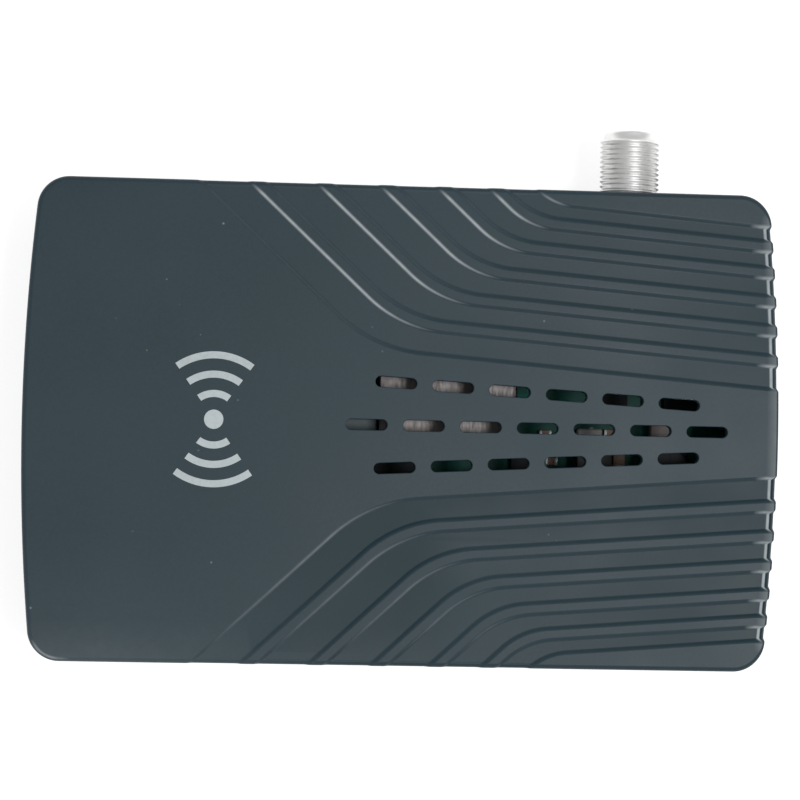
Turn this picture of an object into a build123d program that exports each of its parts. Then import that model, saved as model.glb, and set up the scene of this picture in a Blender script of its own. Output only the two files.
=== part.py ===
from build123d import *

import math
import os

# A small satellite television receiver. X runs along the case from its front end to its back end, Y points
# to the side with the sockets, and Z points up. Lengths are in millimetres and angles in degrees.

# Case
case_length = 118.4
case_width = 75.1
front_bow = 2.1  # how far the front end bulges at its middle
back_bow = 2.1
corner_radius = 5.0
wall = 2.0
roof = 2.0
floor = 1.8
room_above_board = 15.2
top_edge_radius = 1.2
top_edge_flats = 2  # the rounding is built of this many flats
base_edge_bevel = 1.2
lip_height = 1.4
lip_thickness = 0.9
fit_gap = 0.15  # play between pieces that drop into each other
overrun = 3.0  # how far a cutting tool runs past what it cuts

# Ribbed top: lines that start at the back end, fan out and turn towards the long sides
rib_width = 2.2  # at its foot
rib_height = 0.6
rib_wall_height = 0.3  # where a rib runs down a wall
rib_edge_bevel = 1.0  # where a channel turns down over the edge
rib_flank_lean = 40.0
rib_turn_angle = 43.0
rib_fan_angle = 4.5
rib_bend_radius = 22.0
rib_bend_step = 2.0  # each line further out bends this much tighter
rib_side_shares = (-0.286, -0.199, -0.110, -0.028, 0.048, 0.1175, 0.182)
rib_end_shares = (0.080, 0.151, 0.214, 0.275, 0.335, 0.390, 0.442)

# Vent slots in the roof and the floor
slot_length = 6.5
slot_width = 1.7
slot_end_flats = 4  # a roof slot's round end is built of this many flats
slot_pitch = 8.94
roof_slot_counts = (6, 7, 6)
roof_row_step = 5.45
roof_row_lean = 3.1
roof_vent_share = 0.1773
floor_slot_count = 5
floor_row_count = 4
floor_row_step = 6.0

# Case screws with their bosses at the back end, clips at the front end, and feet
boss_inset_x = 7.0
boss_inset_y = 6.4
boss_radius = 3.4
case_screw_radius = 1.3
case_screw_length = 10.0
case_screw_head_radius = 2.3
case_screw_head_height = 1.6
screw_recess = 3.0
screw_play = 0.2
thread_play = 0.02
clip_inset = 12.0  # from the front end
clip_width = 8.0
clip_thickness = 1.4
clip_rise = 6.0
clip_drop = 5.0
barb_height = 1.2
barb_reach = 0.6
foot_side = 8.0
foot_height = 0.8
foot_inset_x = 18.0
foot_inset_y = 9.0

# Main board, clamped by the case screws at the back and held on posts at the front
board_thickness = 1.6
standoff_height = 3.4
post_side = 4.0
post_shares = ((-0.443, -0.42), (-0.458, 0.44))
board_front_inset = 10.9  # from the front end's middle
board_wall_gap = 1.2

# Antenna socket
antenna_share = 0.330
antenna_thread_radius = 4.76
antenna_reach = 10.7  # out of the case's side
antenna_neck_radius = 4.4  # behind the thread, where it passes the wall
antenna_neck_reach = 0.4
antenna_nose_radius = 4.15
antenna_nose_length = 1.4
antenna_bore_radius = 3.2
antenna_bore_depth = 16.0
antenna_axis_height = 5.6
antenna_block_length = 12.5
antenna_block_depth = 9.0
antenna_hole_play = 0.35
insulator_recess = 0.4
insulator_hole_radius = 0.8
insulator_hole_depth = 2.5
contact_radius = 1.3
contact_bore_radius = 0.6
contact_bore_depth = 8.0
contact_tail_side = 0.8
contact_tail_play = 0.4

# Tuner screening box, between the antenna socket and the middle of the board
screen_sheet = 0.4
tuner_length = 20.0
tuner_depth = 12.0
tuner_height = 6.5
tuner_gap = 0.8
lid_skirt = 2.0
lid_play = 0.05

# Audio and video jack
av_share = 0.105
av_length = 6.4
av_depth = 12.0
av_height = 5.6
av_axis_height = 3.0
av_nose_radius = 2.9
av_bore_radius = 1.8
av_bore_depth = 12.5

# Video socket for a flat plug
hdmi_share = -0.109
hdmi_length = 14.8
hdmi_height = 5.6
hdmi_depth = 11.6
hdmi_corner_rise = 2.6
hdmi_corner_run = 1.8
hdmi_tongue_length = 10.4
hdmi_tongue_height = 1.4
hdmi_tongue_depth = 7.0

# Power jack
dc_share = -0.363
dc_length = 9.0
dc_depth = 14.0
dc_height = 11.0
dc_axis_height = 6.4
dc_bore_radius = 3.1
dc_bore_depth = 9.5
dc_pin_radius = 1.05
dc_pin_length = 9.0

# Data socket in the front end
usb_width = 13.1
usb_height = 5.8
usb_depth = 14.0
usb_board_margin = 1.0
usb_tongue_width = 11.0
usb_tongue_height = 1.9
usb_tongue_depth = 9.0
usb_tongue_drop = 0.9

# What the sockets share
shell_sheet = 0.35
insert_play = 0.05
socket_set_back = 0.4  # mouths lie this far inside the case's surface
socket_play = 0.3

# Front end: board, display, window, remote control receiver, standby button and its switch
front_margin = 10.3  # from the case's long sides
front_board_thickness = 1.2
front_board_height = 14.0
front_board_gap = 0.5  # from the data socket's tongue of the main board
window_height = 11.0
window_corner_radius = 1.5
window_margin = 2.2
window_flange = 1.2
window_flange_thickness = 1.0
display_depth = 5.6
display_height = 9.0
display_margin = 0.8
receiver_width = 5.4
receiver_height = 6.6
receiver_depth = 3.4
receiver_lens_radius = 2.2
button_radius = 3.6
button_play = 0.2
button_set_back = 0.25
button_flange_radius = 4.6
button_flange_thickness = 1.0
button_flange_gap = 0.4
switch_side = 6.0
switch_depth = 3.6
plunger_radius = 1.7
plunger_reach = 1.0
plunger_play = 0.1
plunger_seat_depth = 1.6
plunger_sink = 1.0
link_pin_count = 8
link_pin_pitch = 2.54
link_pin_side = 0.64
link_pin_height = 1.6
link_pin_run = 3.0

# Parts on the main board. Places are shares of the board's length and width, from its middle
processor_side = 12.0
processor_thickness = 1.4
processor_shares = (0.045, 0.078)
shield_length = 22.0
shield_width = 14.5
shield_height = 11.0
chip_length = 5.2
chip_width = 4.0
chip_thickness = 1.4
memory_length = 8.0
memory_width = 5.4
memory_shares = (-0.0294, -0.1106)
power_chip_shares = ((0.3148, 0.0771), (0.1807, -0.080), (0.4237, 0.0713))
capacitor_radius = 3.15
capacitor_height = 11.0
capacitor_shares = ((0.3933, -0.0757), (0.20, -0.175), (-0.355, 0.12))
inductor_side = 5.8
inductor_height = 4.6
inductor_plate = 0.9
inductor_core_side = 2.2
inductor_shares = (0.2847, -0.0873)
winding_radius = 2.6
winding_play = 0.05
choke_side = 6.0
tall_choke_height = 10.4
tall_choke_gap = 0.15  # from the processor's screening box
low_choke_height = 3.0
low_choke_shares = (-0.191, 0.17)
crystal_length = 4.2
crystal_width = 3.2
crystal_height = 1.6
crystal_corner_radius = 0.5
crystal_shares = (0.2808, -0.0167)
filter_length = 4.4
filter_width = 3.2
filter_height = 3.0
filter_shares = (0.3975, 0.0029)
passive_length = 2.0
passive_width = 1.25
passive_height = 0.8
passive_shares = (
    (0.203, 0.06), (0.2104, -0.009), (0.375, 0.075), (0.231, -0.23), (0.288, -0.23), (0.344, -0.23),
    (0.063, -0.12), (0.034, -0.12), (0.016, -0.22), (0.081, -0.22), (-0.106, -0.22), (-0.181, -0.10),
    (-0.238, 0.0), (-0.294, 0.0), (-0.105, 0.12), (-0.105, 0.065), (-0.369, -0.28), (-0.294, -0.30),
    (-0.219, -0.30), (-0.144, -0.32), (-0.012, 0.30), (0.063, 0.30), (-0.219, 0.33), (-0.195, 0.38),
    (0.3146, -0.0044), (0.134, -0.14), (0.2211, -0.0728),
)
large_passive_length = 3.2
large_passive_width = 1.9
large_passive_height = 1.2
large_passive_shares = (0.3288, -0.0662)

# Levels and places that follow from the sizes above
half_length = case_length / 2
half_width = case_width / 2
base_z = foot_height
floor_z = base_z + floor
board_z = floor_z + standoff_height
board_top = board_z + board_thickness
part_z = board_top + antenna_axis_height
roof_z = board_top + room_above_board
top_z = roof_z + roof
boss_x = half_length - boss_inset_x
boss_y = half_width - boss_inset_y
board_front_x = board_front_inset - half_length
board_back_x = half_length - back_bow - wall - board_wall_gap
board_length = board_back_x - board_front_x
board_middle_x = (board_front_x + board_back_x) / 2
board_half_width = half_width - wall - board_wall_gap
board_width = 2 * board_half_width
front_board_x = board_front_x - front_board_thickness
socket_y = half_width - socket_set_back
tip_y = half_width + antenna_reach
core_bottom_y = tip_y - antenna_bore_depth
antenna_back_y = board_half_width - antenna_block_depth
tail_end_y = antenna_back_y - contact_tail_play - contact_tail_side
av_z = board_top + av_axis_height
dc_z = board_top + dc_axis_height
antenna_x = board_middle_x + antenna_share * board_length
av_x = board_middle_x + av_share * board_length
hdmi_x = board_middle_x + hdmi_share * board_length
dc_x = board_middle_x + dc_share * board_length
side_room = half_width - front_margin
usb_y = side_room - usb_board_margin - usb_width / 2
button_y = button_flange_radius - side_room
window_low_y = button_y + button_radius + window_margin
window_high_y = usb_y - usb_width / 2 - window_margin
window_y = (window_low_y + window_high_y) / 2
window_width = window_high_y - window_low_y
boss_places = [(boss_x, -boss_y), (boss_x, boss_y)]
clip_x = clip_inset - half_length
STANDING = (Align.CENTER, Align.CENTER, Align.MIN)


def block(length, width, height, x, y, z):
    """A box that stands on level z with its middle at x, y."""
    return Pos(x, y, z) * Box(length, width, height, align=STANDING)


def post(radius, height, x, y, z):
    """A round post that stands on level z."""
    return Pos(x, y, z) * Cylinder(radius, height, align=STANDING)


def rod_along_y(radius, length, x, y, z):
    """A rod that starts at y and runs towards the socket side."""
    return Pos(x, y, z) * Rot(-90, 0, 0) * Cylinder(radius, length, align=STANDING)


def rod_along_x(radius, length, x, y, z):
    """A rod that starts at x and runs towards the back end."""
    return Pos(x, y, z) * Rot(0, 90, 0) * Cylinder(radius, length, align=STANDING)


def side_plane(x, y, z):
    """A drawing plane that faces inwards from the socket side, with its height along Z."""
    return Plane((x, y, z), x_dir=(1, 0, 0), z_dir=(0, -1, 0))


def front_plane(x, y, z):
    """A drawing plane that faces inwards from the front end, with its height along Z."""
    return Plane((x, y, z), x_dir=(0, 1, 0), z_dir=(1, 0, 0))


def on_board(shares):
    """The place on the main board that a pair of shares stands for."""
    return board_middle_x + shares[0] * board_length, shares[1] * board_width


def group(solids):
    """Like pieces that stay separate solids of one node."""
    return Compound([piece for shape in solids for piece in shape.solids()])


def front_surface_x(y):
    """Where the bowed front end lies at a given y."""
    bow_radius = (half_width**2 + front_bow**2) / (2 * front_bow)
    return bow_radius - half_length - math.sqrt(bow_radius**2 - y**2)


def case_plan(inset):
    """The case's outline from above, moved inwards by the inset."""
    front_x = front_bow - half_length
    back_x = half_length - back_bow
    front = ThreePointArc((front_x, half_width), (-half_length, 0), (front_x, -half_width))
    near = Line((front_x, -half_width), (back_x, -half_width))
    back = ThreePointArc((back_x, -half_width), (half_length, 0), (back_x, half_width))
    far = Line((back_x, half_width), (front_x, half_width))
    outline = make_face([front, near, back, far])
    outline = fillet(outline.vertices(), corner_radius)
    return offset(outline, amount=-inset) if inset else outline


def case_block(inset, low, high):
    """A solid slice of the case between two levels."""
    return extrude(Pos(0, 0, low) * case_plan(inset), amount=high - low)


def case_top(low):
    """The case from a level up to its top, with the top edge rounded."""
    solid = case_block(0, low, top_z - top_edge_radius)
    for flat in range(top_edge_flats):
        start = math.radians(90 * flat / top_edge_flats)
        end = math.radians(90 * (flat + 1) / top_edge_flats)
        inset = top_edge_radius * (1 - math.cos(start))
        rise = top_edge_radius * (math.sin(end) - math.sin(start))
        lean = math.degrees((start + end) / 2)
        foot_z = top_z - top_edge_radius * (1 - math.sin(start))
        solid = solid + extrude(Pos(0, 0, foot_z) * case_plan(inset), amount=rise, taper=lean)
    return solid


def rib_line(side_share, end_share, bend_radius, shift):
    """One edge of a rib: a slanting run, a bend and a run to the back end. The shift moves it outwards."""
    turn = math.radians(rib_turn_angle)
    fan = math.radians(rib_fan_angle)
    slant_way = Vector(math.cos(turn), -math.sin(turn))
    back_way = Vector(math.cos(fan), -math.sin(fan))
    side_point = Vector(side_share * case_length, half_width) + shift * Vector(math.sin(turn), math.cos(turn))
    end_point = Vector(half_length, end_share * case_width) + shift * Vector(math.sin(fan), math.cos(fan))
    between = end_point - side_point
    along = between.cross(back_way).Z / slant_way.cross(back_way).Z
    corner = side_point + along * slant_way
    start = side_point - overrun * slant_way
    finish = end_point + overrun * back_way
    return FilletPolyline(start, corner, finish, radius=bend_radius)


def channel_face(index):
    """The floor of the channel between two neighbouring rib lines."""
    lines = []
    for line, side in ((index, 1), (index + 1, -1)):
        bend_radius = rib_bend_radius - rib_bend_step * line
        lines.append(rib_line(rib_side_shares[line], rib_end_shares[line], bend_radius, side * rib_width / 2))
    inner, outer = lines
    closing = [Line(inner @ 1, outer @ 1), Line(outer @ 0, inner @ 0)]
    return make_face(inner.edges() + outer.edges() + closing)


def rib_channels():
    """The sunk channels that leave the ribs standing, on both halves of the top."""
    sunk_z = top_z - rib_height
    inner_case = case_block(rib_wall_height, part_z - overrun, sunk_z)
    inner_case = chamfer(inner_case.edges().group_by(Axis.Z)[-1], rib_edge_bevel)
    channels = []
    for index in range(len(rib_side_shares) - 1):
        face = channel_face(index)
        upright = extrude(Pos(0, 0, part_z - overrun) * face, amount=sunk_z - part_z + overrun)
        flared = extrude(Pos(0, 0, sunk_z) * face, amount=2 * rib_height, taper=-rib_flank_lean)
        channel = (upright - inner_case) + flared
        channels += [channel, mirror(channel, about=Plane.XZ)]
    return channels


def roof_slot_outline():
    """A vent slot with round ends, about its own middle."""
    radius = slot_width / 2
    points = []
    for way in (1, -1):
        for step in range(slot_end_flats + 1):
            angle = math.radians(180 * step / slot_end_flats - 90)
            reach = slot_length / 2 - radius + radius * math.cos(angle)
            points.append((way * reach, way * radius * math.sin(angle)))
    return make_face(Polyline(points, close=True))


def roof_slots():
    """Three rows of vent slots. The outer rows lean towards the middle one at the back end."""
    slots = []
    middle_x = roof_vent_share * case_length
    for row, count in enumerate(roof_slot_counts):
        rank = 1 - row
        lean = -rank * roof_row_lean
        for index in range(count):
            along = (index - (count - 1) / 2) * slot_pitch
            x = middle_x + along * math.cos(math.radians(lean))
            y = rank * roof_row_step + along * math.sin(math.radians(lean))
            slot = Pos(x, y, roof_z - overrun) * Rot(0, 0, lean) * roof_slot_outline()
            slots.append(extrude(slot, amount=roof + 2 * overrun))
    return slots


def floor_slots():
    """Rows of square-ended vent slots under the main board."""
    slots = []
    for row in range(floor_row_count):
        for index in range(floor_slot_count):
            x = (index - (floor_slot_count - 1) / 2) * slot_pitch
            y = (row - (floor_row_count - 1) / 2) * floor_row_step
            slots.append(block(slot_length, slot_width, floor + 2 * overrun, x, y, base_z - overrun))
    return slots


def hdmi_outline(growth):
    """The flat socket's outline: a box whose lower corners are cut at a slant."""
    half = hdmi_length / 2 + growth
    low = -growth
    high = hdmi_height + growth
    corner = low + hdmi_corner_rise
    foot = half - hdmi_corner_run
    points = [(-foot, low), (foot, low), (half, corner), (half, high), (-half, high), (-half, corner)]
    return make_face(Polyline(points, close=True))


def usb_outline(growth):
    """The data socket's outline."""
    return Pos(0, usb_height / 2) * Rectangle(usb_width + 2 * growth, usb_height + 2 * growth)


def window_outline(growth):
    """The front window's outline about its own middle."""
    radius = window_corner_radius + growth
    return RectangleRounded(window_width + 2 * growth, window_height + 2 * growth, radius)


def wall_openings():
    """Everything that is cut through the walls of both covers."""
    depth = wall + lip_thickness + overrun
    start_y = half_width - depth
    outside_y = half_width + overrun
    outside_x = -half_length - overrun
    antenna_hole_radius = antenna_thread_radius + antenna_hole_play
    dc_hole = Rectangle(dc_length + 2 * socket_play, dc_height + 2 * socket_play)
    hdmi_plane = side_plane(hdmi_x, outside_y, board_top)
    dc_plane = side_plane(dc_x, outside_y, board_top + dc_height / 2)
    usb_plane = front_plane(outside_x, usb_y, board_top)
    window_plane = front_plane(outside_x, window_y, part_z)
    return [
        rod_along_y(antenna_hole_radius, depth + overrun, antenna_x, start_y, part_z),
        rod_along_y(av_nose_radius + fit_gap, depth + overrun, av_x, start_y, av_z),
        extrude(hdmi_plane * hdmi_outline(socket_play), amount=depth),
        extrude(dc_plane * dc_hole, amount=depth),
        extrude(usb_plane * usb_outline(socket_play), amount=depth + front_bow),
        extrude(window_plane * window_outline(fit_gap), amount=depth),
        rod_along_x(button_radius + button_play, depth + front_bow, outside_x, button_y, part_z),
    ]


def top_cover():
    """The ribbed upper shell with its vents and screw bosses."""
    shell = case_top(part_z) - rib_channels()
    shell = shell - case_block(wall, part_z - overrun, roof_z)
    rebate = case_block(wall - lip_thickness - fit_gap, part_z - overrun, part_z + lip_height + fit_gap)
    shell = shell - rebate
    pilot_depth = base_z + screw_recess + case_screw_length + screw_play - board_top
    for x, y in boss_places:
        boss = post(boss_radius, room_above_board, x, y, board_top)
        shell = shell + (boss - post(case_screw_radius + thread_play, pilot_depth, x, y, board_top))
    return shell + clips(0) - roof_slots() - wall_openings()


def clips(growth):
    """Clips inside both long walls near the front end. The growth turns them into their pockets."""
    shapes = []
    face_y = half_width - wall
    tongue_y = face_y - fit_gap - clip_thickness / 2
    root_y = face_y - fit_gap / 2
    barb_z = part_z - clip_drop
    root_z = part_z + lip_height + fit_gap
    root_height = part_z + clip_rise - root_z
    barb_size = (clip_width + 2 * growth, barb_reach + fit_gap + growth, barb_height + 2 * growth)
    barb_y = face_y - fit_gap + barb_size[1] / 2
    for way in (-1, 1):
        tongue = block(clip_width, clip_thickness, clip_drop + clip_rise, clip_x, way * tongue_y, barb_z)
        root = block(clip_width, fit_gap, root_height, clip_x, way * root_y, root_z)
        barb = block(*barb_size, clip_x, way * barb_y, barb_z - growth)
        shapes.append(barb if growth else tongue + root + barb)
    return shapes


def bottom_cover():
    """The lower shell: floor, walls with a raised lip, screw pillars and board posts."""
    shell = case_block(0, base_z, part_z)
    shell = chamfer(shell.edges().group_by(Axis.Z)[0], base_edge_bevel)
    shell = shell + case_block(wall - lip_thickness, part_z, part_z + lip_height)
    shell = shell - case_block(wall, floor_z, part_z + lip_height + overrun)
    for x, y in boss_places:
        shell = shell + post(boss_radius, standoff_height, x, y, floor_z)
        shell = shell - post(case_screw_radius + screw_play, floor + standoff_height, x, y, base_z)
        shell = shell - post(case_screw_head_radius + screw_play, screw_recess, x, y, base_z)
    for x, y in map(on_board, post_shares):
        shell = shell + block(post_side, post_side, standoff_height, x, y, floor_z)
    return shell - clips(fit_gap) - floor_slots() - wall_openings()


def rubber_feet():
    """Square pads stuck under the floor."""
    foot_x = half_length - foot_inset_x
    foot_y = half_width - foot_inset_y
    places = [(x, y) for x in (-foot_x, foot_x) for y in (-foot_y, foot_y)]
    return group([block(foot_side, foot_side, foot_height, x, y, 0) for x, y in places])


def case_screws():
    """The screws that clamp the covers and the board together, driven from below."""
    seat_z = base_z + screw_recess
    head_z = seat_z - case_screw_head_height
    screws = []
    for x, y in boss_places:
        shank = post(case_screw_radius, case_screw_length, x, y, seat_z)
        screws.append(shank + post(case_screw_head_radius, case_screw_head_height, x, y, head_z))
    return group(screws)


def main_board():
    """The main circuit board, with a tongue that carries the data socket at the front."""
    board = block(board_length, board_width, board_thickness, board_middle_x, 0, board_z)
    back_corners = board.edges().filter_by(Axis.Z).group_by(Axis.X)[-1]
    board = chamfer(back_corners, corner_radius - wall)
    tongue_front = front_surface_x(usb_y) + wall + board_wall_gap
    tongue_length = board_front_x - tongue_front
    tongue_width = usb_width + 2 * usb_board_margin
    tongue_x = tongue_front + tongue_length / 2
    board = board + block(tongue_length, tongue_width, board_thickness, tongue_x, usb_y, board_z)
    for x, y in boss_places:
        board = board - post(case_screw_radius + screw_play, board_thickness, x, y, board_z)
    return board


def antenna_body():
    """The threaded barrel on its cast block. The thread's crests lie on the plain barrel."""
    thread_y = half_width + antenna_neck_reach
    nose_y = tip_y - antenna_nose_length
    middle_y = board_half_width - antenna_block_depth / 2
    block_size = (antenna_block_length, antenna_block_depth, 2 * antenna_axis_height)
    neck_length = thread_y - board_half_width
    body = block(*block_size, antenna_x, middle_y, board_top)
    body = body + rod_along_y(antenna_neck_radius, neck_length, antenna_x, board_half_width, part_z)
    body = body + rod_along_y(antenna_thread_radius, nose_y - thread_y, antenna_x, thread_y, part_z)
    body = body + rod_along_y(antenna_nose_radius, antenna_nose_length, antenna_x, nose_y, part_z)
    body = body - rod_along_y(antenna_bore_radius, antenna_bore_depth, antenna_x, core_bottom_y, part_z)
    slot_side = contact_tail_side + 2 * contact_tail_play
    slot_z = part_z - slot_side / 2
    return body - block(slot_side, antenna_block_depth, slot_side, antenna_x, middle_y, slot_z)


def antenna_insulator():
    """The plastic core of the antenna socket, hollow for the contact."""
    length = antenna_bore_depth - insulator_recess
    hollow_length = length - insulator_hole_depth
    core = rod_along_y(antenna_bore_radius, length, antenna_x, core_bottom_y, part_z)
    core = core - rod_along_y(contact_radius, hollow_length, antenna_x, core_bottom_y, part_z)
    return core - rod_along_y(insulator_hole_radius, length, antenna_x, core_bottom_y, part_z)


def antenna_contact():
    """The centre contact: a sleeve with a tail that bends down to the board."""
    mouth_y = tip_y - insulator_recess - insulator_hole_depth
    bore_y = mouth_y - contact_bore_depth
    sleeve = rod_along_y(contact_radius, mouth_y - core_bottom_y, antenna_x, core_bottom_y, part_z)
    sleeve = sleeve - rod_along_y(contact_bore_radius, contact_bore_depth, antenna_x, bore_y, part_z)
    tail_z = part_z - contact_tail_side / 2
    tail_length = core_bottom_y - tail_end_y
    tail_y = tail_end_y + tail_length / 2
    tail = block(contact_tail_side, tail_length, contact_tail_side, antenna_x, tail_y, tail_z)
    drop_y = tail_end_y + contact_tail_side / 2
    drop = block(contact_tail_side, contact_tail_side, tail_z - board_top, antenna_x, drop_y, board_top)
    return sleeve + tail + drop


def tuner_middle():
    """The middle of the tuner's screening box, which stands behind the antenna socket."""
    return antenna_x, tail_end_y - tuner_gap - tuner_depth / 2


def tuner_frame():
    """The standing walls of the tuner's screening box."""
    x, y = tuner_middle()
    inner_length = tuner_length - 2 * screen_sheet
    inner_depth = tuner_depth - 2 * screen_sheet
    frame = block(tuner_length, tuner_depth, tuner_height, x, y, board_top)
    return frame - block(inner_length, inner_depth, tuner_height, x, y, board_top)


def tuner_lid():
    """A pressed lid whose skirt grips the outside of the frame."""
    x, y = tuner_middle()
    growth = 2 * (screen_sheet + lid_play)
    low_z = board_top + tuner_height - lid_skirt
    lid = block(tuner_length + growth, tuner_depth + growth, lid_skirt + screen_sheet, x, y, low_z)
    return lid - block(tuner_length + 2 * lid_play, tuner_depth + 2 * lid_play, lid_skirt, x, y, low_z)


def processor():
    """The main processor, flat on the board."""
    x, y = on_board(processor_shares)
    return block(processor_side, processor_side, processor_thickness, x, y, board_top)


def processor_shield():
    """A folded sheet-metal box over the processor. Its flat roof shows through the vents."""
    x, y = on_board(processor_shares)
    box = block(shield_length, shield_width, shield_height, x, y, board_top)
    box = fillet(box.edges().group_by(Axis.Z)[-1], screen_sheet)
    inside = (shield_length - 2 * screen_sheet, shield_width - 2 * screen_sheet, shield_height - screen_sheet)
    return box - block(*inside, x, y, board_top)


def memory_chip():
    """The memory chip, flat on the board."""
    x, y = on_board(memory_shares)
    return block(memory_length, memory_width, chip_thickness, x, y, board_top)


def power_chips():
    """Small moulded chips of the power supply, flat on the board."""
    places = map(on_board, power_chip_shares)
    return group([block(chip_length, chip_width, chip_thickness, x, y, board_top) for x, y in places])


def capacitors():
    """Round capacitors that stand on the board."""
    places = map(on_board, capacitor_shares)
    return group([post(capacitor_radius, capacitor_height, x, y, board_top) for x, y in places])


def inductor_core():
    """A ferrite core between two square plates."""
    x, y = on_board(inductor_shares)
    core = block(inductor_core_side, inductor_core_side, inductor_height, x, y, board_top)
    core = core + block(inductor_side, inductor_side, inductor_plate, x, y, board_top)
    high_z = board_top + inductor_height - inductor_plate
    return core + block(inductor_side, inductor_side, inductor_plate, x, y, high_z)


def inductor_winding():
    """The copper wound between the core's plates."""
    x, y = on_board(inductor_shares)
    height = inductor_height - 2 * inductor_plate - 2 * winding_play
    low_z = board_top + inductor_plate + winding_play
    hollow = inductor_core_side + 2 * winding_play
    return post(winding_radius, height, x, y, low_z) - block(hollow, hollow, height, x, y, low_z)


def chokes():
    """Square moulded chokes, a tall one beside the processor's screening box and a low one."""
    shield_x, _ = on_board(processor_shares)
    tall_x = shield_x - shield_length / 2 - tall_choke_gap - choke_side / 2
    tall = block(choke_side, choke_side, tall_choke_height, tall_x, 0, board_top)
    low = block(choke_side, choke_side, low_choke_height, *on_board(low_choke_shares), board_top)
    return group([tall, low])


def crystal():
    """The clock crystal in its flat can with round corners."""
    x, y = on_board(crystal_shares)
    outline = RectangleRounded(crystal_length, crystal_width, crystal_corner_radius)
    return extrude(Pos(x, y, board_top) * outline, amount=crystal_height)


def filter_block():
    """A moulded filter beside the power chip."""
    x, y = on_board(filter_shares)
    return block(filter_length, filter_width, filter_height, x, y, board_top)


def chip_passives():
    """Small surface-mounted resistors and capacitors, and a large one that lies across the board."""
    places = map(on_board, passive_shares)
    shapes = [block(passive_length, passive_width, passive_height, x, y, board_top) for x, y in places]
    large_size = (large_passive_width, large_passive_length, large_passive_height)
    return group([*shapes, block(*large_size, *on_board(large_passive_shares), board_top)])


def av_jack():
    """The round jack: a moulded body with a nose that fills its hole in the wall."""
    front_y = half_width - wall - fit_gap
    body = block(av_length, av_depth, av_height, av_x, front_y - av_depth / 2, board_top)
    body = body + rod_along_y(av_nose_radius, socket_y - front_y, av_x, front_y, av_z)
    return body - rod_along_y(av_bore_radius, av_bore_depth, av_x, socket_y - av_bore_depth, av_z)


def hdmi_shell():
    """The sheet-metal shell of the flat video socket."""
    plane = side_plane(hdmi_x, socket_y, board_top)
    shell = extrude(plane * hdmi_outline(0), amount=hdmi_depth)
    return shell - extrude(plane * hdmi_outline(-shell_sheet), amount=hdmi_depth)


def hdmi_insert():
    """The plastic block at the back of the video socket, with the tongue that carries its contacts."""
    block_depth = hdmi_depth - hdmi_tongue_depth - socket_set_back
    block_front_y = socket_y - hdmi_depth + block_depth
    back = side_plane(hdmi_x, block_front_y, board_top)
    insert = extrude(back * hdmi_outline(-shell_sheet - insert_play), amount=block_depth)
    tongue_size = (hdmi_tongue_length, hdmi_tongue_depth, hdmi_tongue_height)
    tongue_y = block_front_y + hdmi_tongue_depth / 2
    return insert + block(*tongue_size, hdmi_x, tongue_y, board_top + hdmi_height / 2)


def usb_mouth_x():
    """Where the data socket's mouth lies."""
    return front_surface_x(usb_y) + socket_set_back


def usb_shell():
    """The sheet-metal shell of the data socket."""
    plane = front_plane(usb_mouth_x(), usb_y, board_top)
    shell = extrude(plane * usb_outline(0), amount=usb_depth)
    return shell - extrude(plane * usb_outline(-shell_sheet), amount=usb_depth)


def usb_insert():
    """The plastic block at the back of the data socket, with its tongue under the roof of the shell."""
    block_depth = usb_depth - usb_tongue_depth - socket_set_back
    back_x = usb_mouth_x() + usb_depth - block_depth
    back = front_plane(back_x, usb_y, board_top)
    insert = extrude(back * usb_outline(-shell_sheet - insert_play), amount=block_depth)
    tongue_size = (usb_tongue_depth, usb_tongue_width, usb_tongue_height)
    tongue_z = board_top + usb_height - shell_sheet - usb_tongue_drop - usb_tongue_height
    return insert + block(*tongue_size, back_x - usb_tongue_depth / 2, usb_y, tongue_z)


def dc_jack():
    """The moulded power jack with its round well."""
    body = block(dc_length, dc_depth, dc_height, dc_x, socket_y - dc_depth / 2, board_top)
    return body - rod_along_y(dc_bore_radius, dc_bore_depth, dc_x, socket_y - dc_bore_depth, dc_z)


def dc_pin():
    """The pin in the middle of the power jack."""
    return rod_along_y(dc_pin_radius, dc_pin_length, dc_x, socket_y - dc_bore_depth, dc_z)


def front_board():
    """The upright board behind the front end."""
    low_y = -side_room
    high_y = usb_y - usb_width / 2 - usb_board_margin - front_board_gap
    x = front_board_x + front_board_thickness / 2
    return block(front_board_thickness, high_y - low_y, front_board_height, x, (low_y + high_y) / 2, board_z)


def link_pins():
    """Bent pins that join the front board to the main board."""
    pins = []
    run_z = board_top + link_pin_height
    run_x = board_front_x + link_pin_run / 2
    drop_x = board_front_x + link_pin_run - link_pin_side / 2
    for index in range(link_pin_count):
        y = window_y + (index - (link_pin_count - 1) / 2) * link_pin_pitch
        run = block(link_pin_run, link_pin_side, link_pin_side, run_x, y, run_z)
        pins.append(run + block(link_pin_side, link_pin_side, link_pin_height, drop_x, y, board_top))
    return group(pins)


def led_display():
    """The four-digit display on the front board."""
    low_y = window_low_y + display_margin
    high_y = window_high_y - 2 * display_margin - receiver_width
    x = front_board_x - display_depth / 2
    low_z = part_z - display_height / 2
    return block(display_depth, high_y - low_y, display_height, x, (low_y + high_y) / 2, low_z)


def remote_receiver():
    """The remote control receiver, with a round lens on its face."""
    y = window_high_y - display_margin - receiver_width / 2
    low_z = part_z - receiver_height / 2
    x = front_board_x - receiver_depth / 2
    body = block(receiver_depth, receiver_width, receiver_height, x, y, low_z)
    return body + post(receiver_lens_radius, receiver_height, front_board_x - receiver_depth, y, low_z)


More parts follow.
